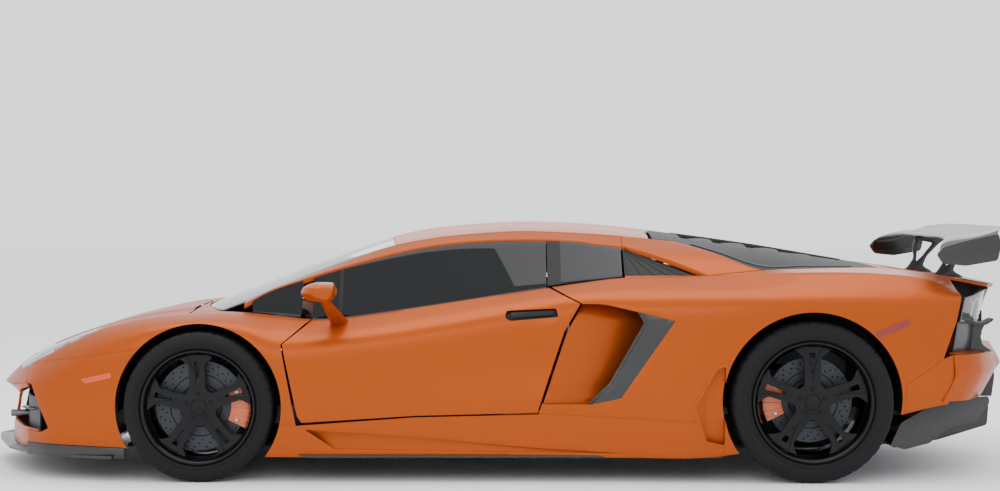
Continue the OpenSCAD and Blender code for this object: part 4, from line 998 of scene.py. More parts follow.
def doorPair():
    xs = spread(350, 1710, 90)
    outer = sideRows(doorLines, xs, 6)
    inner = sideRows([moved(line, v) for line, v in zip(doorLines, doorInside)], xs, 6)
    panel = shell("doorPanel", outer, inner)
    carve(panel, sideCut(doorShape), keep=True)
    pocket = shell("pocket", handleLayer(-30), handleLayer(20))
    carve(pocket, sideCut(roundedOutline(door["handle"], 10)), keep=True)
    carve(panel, pocket)
    arm = joined("arm",
        *[block("armPart", x, y, z) for x, y, z in (((505, 535), (735, 790), (640, 676)),
        ((455, 520), (712, 745), (664, 700)))])
    panel = joined("doorRight", panel, arm)
    flap = shell("flap", handleLayer(2), handleLayer(9))
    carve(flap, sideCut(roundedOutline([(1374, 744), (1560, 754), (1566, 736), (1380, 722)], 7)), keep=True)
    well = shell("well", handleLayer(17), handleLayer(20.5))
    carve(well, sideCut(roundedOutline(grown(door["handle"], 2), 10)), keep=True)
    glassRows = sideRows([moved(windowTop, (0, 13, -11)), moved(crest, (0, -14, 0))], xs, 6, 1)
    glass = shell("doorGlass", glassRows, dropped(glassRows, (0, -6, 0)))
    carve(glass, sideCut([(486, 600), (486, 1200), (1536, 1200), (1536, 600)]), keep=True)
    barRows = sideRows([moved(windowTop, (0, 15, -10)), moved(crest, (0, -11.5, 1))],
        spread(603, 621, 3), 8, 1)
    bar = shell("bar", barRows, dropped(barRows, (0, -3, 0)))
    seal = shell("seal", sideRows([moved(crest, (0, -10, 5)), moved(crest, (0, -4, 1))], xs, 3, 1),
        sideRows([moved(crest, (0, -10, -3)), moved(crest, (0, -4, -4))], xs, 3, 1))
    carve(seal, sideCut([(492, 600), (492, 1200), (1534, 1200), (1534, 600)]), keep=True)
    # inside: padded card, armrest and speaker
    card = sideRows([moved(line, (0, v[1] - 6, v[2])) for line, v in zip(doorLines, doorInside)],
        spread(480, 1560, 40), 6)
    trim = shell("trim", dropped(card, (0, 0, 0)), dropped(card, (0, -5, 0)))
    carve(trim, sideCut(grown(doorShape, -40)), keep=True)
    restBack = ((840, 556), (838, 545), (838, 535), (838, 525), (840, 510))
    rest = shell("rest", [armrestLoop(x) for x in spread(820, 1420, 30)],
        [[Vector((x, y, z)) for y, z in restBack] for x in spread(820, 1420, 30)])
    speaker = lathe("speaker", [(0.5, 0), (60, 0), (70, -6), (78, -4), (80, 2), (80, 8), (0.5, 8)],
        (640, 838, 400), (0, 1, 0), 48)
    for name, piece, surface, extra in (("doorPanel", panel, "paint", "door_"),
            ("handleFlap", flap, "plastic", ""), ("handleWell", well, "plastic", ""),
            ("doorWindow", glass, "glass", "door_glass_"), ("windowBar", bar, "plastic", ""),
            ("windowSeal", seal, "plastic", ""), ("doorCard", trim, "hide", ""),
            ("doorArmrest", rest, "orangeHide", ""), ("doorSpeaker", speaker, "mesh", "")):
        for side, it in sidePair(name, piece):
            edge = {"doorSpeaker": 0, "doorPanel": door["edge"]}.get(name, 0.8)
            finished(it, surface, "door_" + side, edge=edge, replaces=[extra + side] if extra else ())


def mirrors():
    # faceted shell with a rounded skin, on a flat painted stalk that grows from the door
    def loop(x0, x1, y, z0, z1, lean):
        mid = (z0 + z1) / 2
        return [Vector(p) for p in ((x0, y, mid - 4), (x0 + 24, y, z0 + 12), (x1 - 26, y, z0),
            (x1, y, mid - 12), (x1 + 2, y, mid + 14), (x1 - 14 + lean, y, z1 - 4), (x0 + 60, y, z1),
            (x0 + 14, y, mid + 24))]
    head = [loop(486, 606, 930, 800, 872, 0), loop(466, 610, 956, 792, 882, 0),
        loop(452, 612, 1010, 790, 886, 4), loop(462, 612, 1070, 794, 884, 6),
        loop(496, 606, 1112, 806, 872, 6), loop(516, 596, 1123, 820, 860, 4)]
    cap = loft("mirrorCap", head)
    rounding = cap.modifiers.new("round", "SUBSURF")
    rounding.levels = 2
    bevel = cap.modifiers.new("tight", "BEVEL")
    bevel.width, bevel.segments = 7 * mm, 2
    cap.modifiers.move(1, 0)
    settle(cap)
    window = prism("hollow", roundedOutline([(948, 806), (1100, 818), (1104, 862), (948, 872)], 12),
        604, 640, "x")
    carve(cap, window)
    stalk = []
    for t in spread(0, 1, 12):
        y = 812 + (952 - 812) * t
        low, high = 664 + (792 - 664) * t, 704 + (812 - 704) * t
        back, ahead = 650 - 80 * t, 572 - 40 * t
        stalk.append([Vector((ahead, y, (low + high) / 2 + 4)), Vector((ahead + 16, y, low)),
            Vector((back, y, low + 6)), Vector((back + 4, y, high - 6)), Vector((ahead + 22, y, high))])
    body = joined("mirrorShell", cap, loft("mirrorStalk", stalk))
    glass = prism("mirrorGlass", roundedOutline([(950, 808), (1098, 820), (1102, 860), (950, 870)],
        11), 597, 601, "x")
    for name, piece, surface in (("mirrorShell", body, "paint"), ("mirrorFace", glass, "bright")):
        for side, it in sidePair(name, piece):
            finished(it, surface, "door_" + side, edge=1.2, sharp=38,
                replaces=["mirror_" + side] if name == "mirrorShell" else ())


doorPair()
mirrors()
print("doors and mirrors built")

# Engine cover, deck and wing.
cover = {"slats": 5, "first": 2200, "pitch": 160}


def engineCover():
    rows = arcRows(coverMiddle, coverEdge, 2026, 3048, 2028, 3048, 80, 24, 8)
    frameTop = shell("coverFrame", rows, dropped(rows, (0, 0, -13)))
    window = [(2170, -360), (2960, -250), (2960, 250), (2170, 360)]
    carve(frameTop, planCut(roundedOutline(window, 40), 0, 700, 1200))
    slats = []
    for k in range(cover["slats"]):
        x0 = cover["first"] + cover["pitch"] * k - 34
        half = 372 - 22 * k
        slat = []
        for i, x in enumerate(spread(x0, x0 + cover["pitch"] + 6, 6)):
            t = i / 6
            base = lineAt(coverMiddle, x)
            slat.append([Vector((x, half * u * (1 - 0.03 * t),
                base.z - 6 - 34 * u * u * 0.6 - 30 * (1 - t) ** 2 + 2)) for u in spread(-1, 1, 24)])
        slats.append(shell("slat", slat, dropped(slat, (0, 0, -6))))
    spine = [[Vector((x, y, lineAt(coverMiddle, x).z + h)) for y, h in ((-16, -8), (-9, 3), (9, 3),
        (16, -8))] for x in spread(2150, 2975, 30)]
    whole = joined("engineCover", frameTop, *slats, shell("spine", spine, dropped(spine, (0, 0, -8))))
    finished(whole, "plastic", "engine_cover", edge=1.5, sharp=36, replaces=["engine_cover"])
    ribs = []
    for side in (-1, 1):
        rail = []
        for x in spread(2200, 2930, 24):
            outer, inner = lineAt(coverEdge, x), Vector((x, 360 - (x - 2170) * 0.139,
                lineAt(coverMiddle, x).z - 20))
            spots = [outer * (1 - u) + inner * u for u in (0.12, 0.2)]
            rail.append([Vector((p.x, side * p.y, p.z)) for p in spots])
        ribs.append(shell("rib", dropped(rail, (0, 0, 5)), dropped(rail, (0, 0, -6))))
    finished(joined("coverRibs", *ribs), "plastic", "engine_cover", edge=1)


def rearDeck():
    rows = arcRows(deckMiddle, coverEdge, 3055, 3680, 3055, 3556, 40, 20, 2)
    deck = shell("rearDeck", rows, dropped(rows, (0, 0, -13)))
    for side in (-1, 1):
        carve(deck,
            planCut(roundedOutline([(3120, side * 150), (3420, side * 130), (3430, side * 430),
            (3140, side * 470)], 25), 0, 700, 1100))
    finished(deck, "paint", edge=2, replaces=["rear_deck"])
    nets = []
    for side in (-1, 1):
        rows = [[Vector((x, side * y, lineAt(coverMiddle, x).z - 26 - 40 * (y / 560) ** 2))
            for y in spread(125, 480, 8)] for x in spread(3110, 3440, 8)]
        nets.append(shell("net", rows, dropped(rows, (0, 0, -4))))
    finished(joined("deckMesh", *nets), "mesh", edge=0)


def rearWing():
    # aerofoil section lofted across the span, with turned-down ends
    front = [(0, 3385, 1062), (500, 3365, 1062), (720, 3325, 1046), (820, 3288, 1018), (850, 3284, 968)]
    back = [(0, 3655, 1112), (500, 3640, 1112), (720, 3592, 1104), (820, 3548, 1080), (850, 3540, 984)]
    section = [(0, 0), (0.03, 0.42), (0.12, 0.62), (0.3, 0.66), (0.5, 0.5), (0.75, 0.3), (0.96, 0.16),
        (1, 0.05), (0.96, -0.02), (0.75, -0.04), (0.5, -0.2), (0.3, -0.34), (0.12, -0.38), (0.03, -0.28)]
    loops = []
    for y in spread(-848, 848, 96):
        a, b = lineAt(front, abs(y)), lineAt(back, abs(y))
        chord = b - a
        thick = 26 if abs(y) < 700 else 26 - 14 * (abs(y) - 700) / 150
        loops.append([(a.y + chord.y * u, y, a.z + chord.z * u + h * thick * 0.9 - 44 * u * (1 - u)
            + 6) for u, h in section])
    plane = loft("plane", loops)
    ends = [prism("endPlate", roundedOutline([(3268, 1000), (3300, 1034), (3420, 1066), (3545, 1092),
        (3556, 1040), (3540, 972), (3400, 948), (3296, 958)], 14), side * 846, side * 856)
        for side in (-1, 1)]
    finished(joined("rearWing", plane, *ends), "carbon", edge=1.2, sharp=42, replaces=["rear_wing"])
    outline = roundedOutline([(3296, 868), (3480, 850), (3500, 880), (3448, 910), (3470, 960),
        (3530, 1020), (3600, 1072), (3590, 1082), (3420, 1066), (3396, 1010), (3404, 950), (3370, 900)], 14)
    hollow = roundedOutline([(3416, 930), (3444, 955), (3500, 1024), (3440, 1036), (3422, 1000)], 10)
    posts = []
    for side in (-1, 1):
        post = prism("post", outline, side * 343, side * 357)
        carve(post, prism("hollow", hollow, -400, 400))
        posts.append(post)
        foot = prism("foot", roundedOutline([(3300, 0), (3490, 0), (3470, 44), (3320, 44)], 12), 0, 9, "z")
        foot.data.transform(Matrix.Translation((0, (side * 350 - 22) * mm,
            (lineAt(coverMiddle, 3390).z - 24) * mm)))
        posts.append(foot)
    finished(joined("wingStands", *posts), "carbon", edge=1.5, sharp=40, replaces=["wing_stands"])


engineCover()
rearDeck()
rearWing()
print("cover, deck and wing built")


# Wheels.
wheels = {
    "front": {"x": 0, "middle": 845, "tyreR": 330, "tyreW": 255, "rimR": 254, "discR": 200, "turn": 0,
              "start": -15},
    "rear": {"x": 2700, "middle": 850, "tyreR": 355, "tyreW": 325, "rimR": 268, "discR": 190, "turn": 180,
             "start": -18},
    "spokes": 5, "plate": 26, "discT": 34, "drillRows": 3, "drillsPerRow": 22,
}


def wheelLathe(name, profile, size, count=96, dent=None):  # profile: radius, distance out from the middle
    points = []
    for i in range(count):
        a = 2 * math.pi * i / count
        for j, (r, h) in enumerate(profile):
            r = r - dent(i, j, h) if dent else r
            points.append((size["x"] + r * math.cos(a), size["middle"] + h,
                size["tyreR"] + r * math.sin(a)))
    return newMesh(name, points, bandFaces(count, len(profile), closed=True))


def tyre(size):
    r, half, rim = size["tyreR"], size["tyreW"] / 2, size["rimR"]
    bead = rim - 12.7
    right = [(rim + 1, half - 17.4), (rim + 6, half - 7), (rim + 13, half - 1.6),
        (rim + 17, half - 1.4), (rim + 19, half - 4), (rim + 23, half - 3.4), (r - 46, half - 0.2),
        (r - 44, half - 1.4), (r - 41, half - 1.4), (r - 39, half - 0.4), (r - 26, half - 2.6),
        (r - 24, half - 4.2), (r - 15, half - 7), (r - 8, half - 12), (r - 3.4, half - 20)]
    tread = []
    grooves = [half * f for f in (0.58, 0.2, -0.2, -0.58)]

    def crown(h):
        return r - 3.2 * (abs(h) / half) ** 2.4

    h = half - 26
    for g in grooves:
        for stop in spread(h, g + 5, 3):
            tread.append((crown(stop), stop))
        tread += [(crown(g) - 7, g + 4), (crown(g) - 7, g - 4)]
        h = g - 5
    tread += [(crown(stop), stop) for stop in spread(h, -half + 26, 3)]
    left = [(a, -b) for a, b in reversed(right)]
    inside = [(bead, -half + 17.4), (bead, -half + 46), (rim + 14, -half + 22), (r - 24, -half + 18),
        (r - 15, -half + 40), (r - 15, half - 40), (r - 24, half - 18), (rim + 14, half - 22),
        (bead, half - 46), (bead, half - 17.4)]
    profile = right + tread + left + inside
    edge = half * 0.58

    def sipe(i, j, h):  # cross grooves that lean with the tread
        if not 0 < j - len(right) + 1 < len(tread) + 1 and not 12 <= j < len(right):
            return 0
        lean = int(abs(h) / 22)
        if abs(h) > edge + 5:
            return 4.5 if (i + lean) % 9 == 0 else 0
        return 3.5 if abs(h) > half * 0.2 + 5 and (i + lean * 2) % 18 < 1 else 0
    return wheelLathe("tyre", profile, size, 360, sipe)


def rimBarrel(size):
    b, half, rim = size["rimR"] - 13, size["tyreW"] / 2, size["rimR"]
    return wheelLathe("barrel", [(b - 10, -half + 6), (rim - 1, -half + 6), (rim, -half + 8),
        (rim, -half + 16), (b, -half + 17), (b, -half + 46), (b - 12, -half + 66), (b - 12, half - 66),
        (b, half - 46), (b, half - 17), (rim, half - 16), (rim, half - 9), (rim - 3, half - 6),
        (b + 2, half - 6), (b - 3, half - 12), (b - 8, half - 18), (b - 12, half - 44),
        (b - 20, half - 64), (b - 22, 0), (b - 20, -half + 64), (b - 10, -half + 44)], size, 120)


def polar(size, radius, degrees):
    a = math.radians(degrees)
    return (size["x"] + radius * math.cos(a), size["tyreR"] + radius * math.sin(a))


def spokePlate(size):
    face = size["middle"] + size["tyreW"] / 2 - 62
    outer = size["rimR"] - 18
    rows = []
    for r in spread(30, outer, 20):
        lift = wheels["plate"] - 9 * (1 - r / outer) ** 1.5 - (3 if r > outer - 6 else 0)
        rows.append([Vector((size["x"] + r * math.cos(a), face + lift,
            size["tyreR"] + r * math.sin(a))) for a in spread(0, 2 * math.pi, 160)])
    flat = [[Vector((p.x, face, p.z)) for p in row] for row in rows]
    points = [p for row in rows for p in row[:-1]] + [p for row in flat for p in row[:-1]]
    n, m = len(rows), 160

    def at(i, j, layer):
        return layer * n * m + i * m + j % m

    faces = []
    for i in range(n - 1):
        for j in range(m):
            faces.append((at(i, j, 0), at(i, j + 1, 0), at(i + 1, j + 1, 0), at(i + 1, j, 0)))
            faces.append((at(i, j, 1), at(i + 1, j, 1), at(i + 1, j + 1, 1), at(i, j + 1, 1)))
    for j in range(m):
        faces.append((at(0, j, 0), at(0, j, 1), at(0, j + 1, 1), at(0, j + 1, 0)))
        faces.append((at(n - 1, j, 0), at(n - 1, j + 1, 0), at(n - 1, j + 1, 1), at(n - 1, j, 1)))
    plate = newMesh("spokes", points, faces)
    step = 360 / wheels["spokes"]
    windows, pockets, slots = [], [], []
    for k in range(wheels["spokes"]):
        a = size["start"] + step * k
        middle = size["rimR"] * 0.74
        shape = [polar(size, 80, a - 10), polar(size, middle, a - 25.5),
            polar(size, outer + 8, a - 15), polar(size, outer + 14, a), polar(size, outer + 8, a + 15),
            polar(size, middle, a + 25.5), polar(size, 80, a + 10)]
        windows.append(prism("window", roundedOutline(shape, 12), face - 5, face + 60))
        s = a + step / 2
        pocket = [polar(size, 92, s - 3.5), polar(size, 150, s - 3.6),
            polar(size, outer - 26, s - 8.5), polar(size, outer - 9, s - 10),
            polar(size, outer - 9, s + 10), polar(size, outer - 26, s + 8.5),
            polar(size, 150, s + 3.6), polar(size, 92, s + 3.5)]
        pockets.append(prism("pocket", roundedOutline(pocket, 5), face + wheels["plate"] - 13, face + 60))
        slot = [polar(size, 124, s - 2), polar(size, outer - 34, s - 3.6), polar(size, outer - 34, s + 3.6),
                polar(size, 124, s + 2)]
        slots.append(prism("slot", roundedOutline(slot, 5), face - 5, face + 60))
    carve(plate, joined("windows", *windows))
    carve(plate, joined("pockets", *pockets))
    carve(plate, joined("slots", *slots))
    return plate


def hub(size):
    face = size["tyreW"] / 2 - 62
    tube = [(27, -14), (74, -14), (74, 20), (66, 26), (62, face - 2), (27, face - 2)]
    parts = [wheelLathe("hubTube", tube, size, 48),
        wheelLathe("hubCap", [(0.4, face + 4), (33, face + 4), (36, face + 8), (36, face + 19),
        (33, face + 22), (29, face + 22), (27, face + 20), (0.4, face + 21)], size, 48)]
    for k in range(5):
        x, z = polar(size, 56, size["start"] + 36 + 72 * k)
        nut = lathe("nut", [(0.4, 0), (10.5, 0), (10.5, 12), (8, 15), (4.5, 15), (4.5, 9), (0.4, 9)],
            (x, size["middle"] + face + 8, z), (0, 1, 0), 6)
        parts.append(nut)
    return joined("hub", *parts)


def brakeDisc(size):
    r, low = size["discR"], -15
    high = low + wheels["discT"]
    rotor = wheelLathe("disc", [(75, low + 1), (r - 1.5, low + 1), (r, low + 2.5), (r, low + 12),
        (r - 8, low + 13), (r - 8, high - 13), (r, high - 12), (r, high - 2.5), (r - 1.5, high - 1),
        (r - 62, high - 1), (r - 66, high - 4), (96, high - 4), (90, high + 2), (75, high + 2)], size, 144)
    drills = []
    for k in range(wheels["drillsPerRow"]):
        for row in range(wheels["drillRows"]):
            x, z = polar(size, r - 14 - 16 * row, 360 / wheels["drillsPerRow"] * (k + row * 0.36))
            hole = [(x + 3.6 * math.cos(b * math.pi / 5), z + 3.6 * math.sin(b * math.pi / 5))
                for b in range(10)]
            drills.append(prism("drill", hole, size["middle"] - 40, size["middle"] + 40))
    carve(rotor, joined("drills", *drills))
    return rotor


def arcSolid(size, r0, r1, y0, y1, a0, a1, count=24):
    loops = []
    for a in spread(a0, a1, count):
        spots = [(polar(size, r, a), y) for r, y in ((r0, y0), (r1, y0), (r1, y1), (r0, y1))]
        loops.append([(x, y, z) for (x, z), y in spots])
    return loft("arc", loops)


def caliperDetail(size):
    out = size["middle"] - 15 + wheels["discT"] + 18
    r, a = size["discR"], size["turn"]
    parts = [arcSolid(size, r - 58, r + 16, out - 1, out + 4, a - 23, a + 23)]
    parts += [arcSolid(size, r - 50, r + 21.5, out - 4, out + 9, a + k - 2.2, a + k + 2.2, 6)
        for k in (-17, -5.5, 5.5, 17)]
    parts += [arcSolid(size, r + 19.6, r + 22.5, out - 60, out - 6, a + k - 3, a + k + 3, 6)
        for k in (-12, 0, 12)]
    bolts = []
    for k in (-20.5, 20.5):
        x, z = polar(size, r - 26, a + k)
        bolts.append(lathe("bolt", [(0.4, 0), (9, 0), (9, 9), (7, 11), (4, 11), (4, 6), (0.4, 6)],
            (x, out + 3, z), (0, 1, 0), 6))
    return joined("caliperRibs", *parts), joined("caliperBolts", *bolts)


def buildWheels():
    for which in ("front", "rear"):
        size = wheels[which]
        rubber, barrel = tyre(size), rimBarrel(size)
        rim = joined("rim", barrel, spokePlate(size), hub(size))
        disc, (ribs, bolts) = brakeDisc(size), caliperDetail(size)
        for name, piece, surface, edge in (("tyre", rubber, "tyre", 0), ("rim", rim, "rim", 2.2),
                ("brakeDisc", disc, "disc", 0), ("caliperRibs", ribs, "caliper", 1.5),
                ("caliperBolts", bolts, "bright", 0.6)):
            label = name + which.capitalize()
            for side, it in sidePair(label, piece):
                rides = f"wheel_{which}_{side}"
                if name.startswith("caliper"):
                    rides = "knuckle_" + side if which == "front" else "body"
                finished(it, surface, rides, edge=edge, sharp=30,
                    replaces=[f"{name}_{which}_{side}"] if name in ("tyre", "rim") else ())


buildWheels()
print("wheels built")

# Tail, given as half width, station and height.
tailTop = [(0, 3660, 827.6), (300, 3628, 828.6), (600, 3536, 830), (700, 3500, 826), (800, 3440, 812),
    (868, 3392, 806)]
tailMiddle = [(0, 3600, 700), (300, 3575, 700), (600, 3510, 700), (700, 3480, 700), (800, 3420, 700),
    (890, 3352, 700)]
tailLow = [(0, 3590, 566), (300, 3570, 566), (600, 3500, 566), (700, 3460, 566), (800, 3400, 566),
    (918, 3300, 566)]
bumperRim = [(0, 3700, 556), (300, 3640, 556), (600, 3570, 556), (800, 3480, 556), (868, 3420, 556),
    (925, 3330, 556)]
bumperMost = [(0, 3720, 463), (140, 3720, 463), (300, 3660, 463), (600, 3580, 463), (800, 3486, 463),
    (868, 3420, 463), (930, 3330, 463)]
bumperFoot = [(0, 3640, 350), (300, 3590, 350), (600, 3520, 350), (800, 3430, 350), (868, 3370, 350),
    (905, 3310, 350)]
tail = {"skin": 12, "lens": 4, "armWidth": 9, "lampCentres": (606, 690, 776), "exhaustHole": 120,
        "fins": (-560, -340, -130, 120, 330, 550)}


def tailSurface(y, z):  # station of the lamp's face
    t = (z - 700) / 128
    return lineAt(tailMiddle, y).y * (1 - t) + lineAt(tailTop, y).y * t


def lightArm(y0, z0, y1, z1):
    along = Vector((y1 - y0, z1 - z0)).normalized()
    side = Vector((-along.y, along.x)) * tail["armWidth"] / 2
    rows = []
    for t in spread(0, 1, 8):
        y, z = y0 + (y1 - y0) * t, z0 + (z1 - z0) * t
        rows.append([Vector((tailSurface(y + side.x * k, z + side.y * k) + 1.4 - 1.2 * abs(k),
            y + side.x * k, z + side.y * k)) for k in (-1, 0, 1)])
    return shell("arm", rows, dropped(rows, (-8, 0, 0)))


def tailLamps():
    rows = faceRows([tailTop, moved(tailMiddle, (0, 0, 1))], spread(868, 560, 40), 10, 0.6)
    lens = shell("lens", rows, skinUnder(rows, tail["lens"]))
    finished(bothSides("tailLens", lens), "smokedLens", edge=1, replaces=["tail_lights"])
    back = shell("back", skinUnder(rows, 10), skinUnder(rows, 14))
    finished(bothSides("tailHousing", back), "plastic", edge=0.8)
    arms = []
    for y in tail["lampCentres"]:
        for dy, dz in ((-30, 36), (30, 34), (4, -46)):
            arms.append(lightArm(y, 766, y + dy, 766 + dz))
    finished(bothSides("tailLightArms", joined("arms", *arms)), "frosted", edge=0.8)


def hexagon(radius, y=0, z=395):
    return [(y + radius * math.cos(math.radians(60 * k)), z + radius * math.sin(math.radians(60 * k)))
            for k in range(6)]


def rearBumper():
    corner = sidePanel("corner", bodySide, 3100, 3396, 24)
    carve(corner, sideCut(rearSeam, -seam / 2), keep=True)
    carve(corner, archHole("rear"),
        sideCut([(3311, 100), (3311, 350), (3331, 463), (3331, 700), (3500, 700), (3500, 100)]))
    rows = faceRows([bumperRim, bumperMost, bumperFoot], spread(925, -925, 120), 8, 0.5)
    face = shell("face", rows, skinUnder(rows, tail["skin"]))
    carve(face, prism("hole", roundedOutline(hexagon(tail["exhaustHole"]), 12), 3400, 3900, "x"))
    carve(face, archHole("rear"), archHole("rear", -1300, -500))
    ledge = faceRows([tailLow, bumperRim], spread(900, -900, 80), 6, 1)
    shelf = shell("shelf", ledge, skinUnder(ledge, 6))
    finished(joined("rearBumper", bothSides("corners", corner), face, shelf), "paint", edge=2,
        replaces=["rear_bumper"])
    rows = faceRows([tailTop, tailMiddle, tailLow], spread(556, -556, 60), 8)
    finished(shell("tailMesh", rows, skinUnder(rows, 10)), "mesh", edge=1)
    rows = faceRows([moved(tailMiddle, (0, -4, 0)), tailLow], spread(880, 560, 20), 6)
    cheek = shell("cheek", rows, skinUnder(rows, 9))
    vane = prism("vane",
        roundedOutline([(3405, 694), (3520, 694), (3492, 640), (3500, 590), (3548, 558), (3400, 558),
        (3442, 606), (3440, 650)], 14), 716, 726)
    lip = prism("lip",
        roundedOutline([(3380, 690), (3500, 694), (3536, 712), (3530, 700), (3500, 682)], 4), 700, 800)
    finished(bothSides("tailVanes", joined("vaneParts", cheek, vane, lip)), "carbon", edge=1.5)
    pad = prism("plateRecess", roundedOutline([(-260, 600), (260, 600), (260, 720), (-260, 720)], 14),
        3562, 3606, "x")
    carve(pad, prism("recess", roundedOutline([(-250, 610), (250, 610), (250, 710), (-250, 710)], 10),
        3602, 3640, "x"))
    carve(pad, *[lathe("screwHole", [(0.3, -40), (3.5, -40), (3.5, 60), (0.3, 60)], (3600, y, 660),
        (1, 0, 0), 20) for y in (-120, 120)])
    finished(pad, "plastic", edge=2)
    rows = arcRows(deckMiddle, coverEdge, 3470, 3684, 3440, 3560, 10, 20, 4)
    finished(shell("deckLip", dropped(rows, (0, 0, 5)), dropped(rows, (0, 0, -1))), "carbon", edge=1.5)


def rearDiffuser():
    rows = [[Vector((3060.3 + 480 * t, 600 * u, 124 + 160 * t * t + 30 * t)) for u in spread(-1, 1, 24)]
            for t in spread(0, 1, 24)]
    pieces = [shell("sheet", rows, dropped(rows, (0, 0, 12)))]
    fin = roundedOutline([(3100, 118), (3330, 140), (3560, 210), (3568, 300), (3556, 340), (3300, 200),
        (3100, 130)], 12)
    for y in tail["fins"]:
        pieces.append(prism("fin", fin, y, y + 10))
    board = roundedOutline([(3062, 150), (3112, 250), (3216, 300), (3330, 346), (3440, 350),
        (3545, 350), (3550, 322), (3488, 246), (3345, 214), (3250, 152), (3130, 130)], 10)
    for side in (-1, 1):
        plate = prism("sideBoard", board, side * 846, side * 856)
        for v in plate.data.vertices:
            v.co.y -= side * 0.42 * max(v.co.x - frontAxle.x - 3.08, 0)
        pieces.append(plate)
        ledge = [[Vector((x, side * y, z + (y - 600) * 0.02))
            for y in spread(600, 848 - 0.42 * (x - 3080), 8)] for x, z in ((3080, 134), (3200, 160),
            (3345, 214), (3488, 246))]
        pieces.append(shell("sideFloor", ledge, dropped(ledge, (0, 0, 6))))
    finished(joined("rearDiffuser", *pieces), "carbon", edge=1.5, replaces=["rear_diffuser"])


def exhaust():
    can = prism("can", roundedOutline([(-400, 362), (400, 362), (400, 558), (-400, 558)], 74, 10),
        3121, 3249, "x")
    bands = [prism("band", roundedOutline([(-404, 358), (404, 358), (404, 562), (-404, 562)], 78, 10),
        x, x + 9, "x") for x in (3140, 3222)]
    tips = [lathe("tip", [(40, 0), (44, 0), (44, 366), (48, 370), (49, 376), (47, 381), (42, 380),
        (40, 374)], (3248, y, 400), (1, 0, 0), 56) for y in (-52, 52)]
    finished(joined("exhaust", can, *bands, *tips), "tip", edge=2, sharp=50, replaces=["exhaust"])
    collar = prism("collar", roundedOutline(hexagon(tail["exhaustHole"] - 1), 12), 3560, 3700, "x")
    carve(collar, prism("bore", roundedOutline(hexagon(tail["exhaustHole"] - 13), 10), 3500, 3800, "x"))
    finished(collar, "carbon", edge=2)


tailLamps()
rearBumper()
rearDiffuser()
exhaust()
print("tail built")

# Lid hinges.
hinge = {"pinR": 4, "bore": 4.1, "knuckleR": 8, "hoodAt": (-92, 735, 210), "coverAt": (2018, 1090, 190)}


def knuckle(x, z, y0, y1, way):
    tube = lathe("knuckle", [(hinge["bore"], 0), (hinge["knuckleR"], 0), (hinge["knuckleR"], y1 - y0),
        (hinge["bore"], y1 - y0)], (x, y0, z), (0, 1, 0), 32)
    return joined("leaf", tube, block("plate", (x + min(0, way * 14), x + max(0, way * 14)), (y0, y1),
        (z - 8, z - 4.8)))


def hinges():
    x, z, y = hinge["hoodAt"]
    leaves = [knuckle(x, z, side * y - 14, side * y + 14, -1) for side in (-1, 1)]
    finished(joined("hoodHinges", *leaves), "bright", "hood", edge=0.6)
    x, z, y = hinge["coverAt"]
    leaves = [knuckle(x, z, side * y - 14, side * y + 14, 1) for side in (-1, 1)]
    finished(joined("coverHinges", *leaves), "bright", "engine_cover", edge=0.6)
    fixed = []
    for side in (-1, 1):
        fixed += [knuckle(x, z, side * y - 38, side * y - 16, -1),
            knuckle(x, z, side * y + 16, side * y + 38, -1)]
        fixed.append(lathe("pin", [(0.3, -40), (hinge["pinR"], -40), (hinge["pinR"], 40), (0.3, 40)],
            (x, side * y, z), (0, 1, 0), 24))
    finished(joined("coverHingeBases", *fixed), "bright", edge=0.6)


hinges()
print("hinges built")


# Cabin: seats, dashboard, console and steering wheel.
seat = {"middles": {"Left": -370, "Right": 370}, "fill": 0.6, "channel": 5, "channelWidth": 7}


def cushion(name, path, y, across=(), along=(), count=44):
    # path: share of the way, station, height, half width, half thickness; channels are sewn on the upper face
    loops = []
    keys = [(t, x, z) for t, x, z, w, h in path]
    sizes = [(t, w, h) for t, x, z, w, h in path]
    for i in range(count + 1):
        t = i / count
        here, size = lineAt(keys, t), lineAt(sizes, t)
        ahead = (lineAt(keys, min(t + 0.02, 1)) - lineAt(keys, max(t - 0.02, 0)))
        up = Vector((-ahead.z, 0, ahead.y)).normalized()
        close = max(max(1 - abs(2 * t - 1) ** 9, 0.0) ** 0.5, 0.04)
        loop = []
        for j in range(64):
            a = 2 * math.pi * j / 64
            c, s = math.cos(a), math.sin(a)
            u = math.copysign(abs(c) ** 0.5,
                c) * size.y * (0.55 + 0.45 * close) * (1 - 0.03 * math.sin(math.pi * t))
            v = math.copysign(abs(s) ** 0.8,
                s) * size.z * close * (1 + 0.14 * math.cos(math.pi * u / size.y / 2))
            if s > 0:
                dent = sum(math.exp(-((u - k) / seat["channelWidth"]) ** 2) for k in along)
                dent += sum(math.exp(-((t - k) / 0.016) ** 2) for k in across)
                v -= seat["channel"] * min(dent, 1.2) * min(s * 3, 1)
            loop.append(Vector((here.y, y + u, here.z)) + up * v)
        loops.append(loop)
    return loft(name, loops)


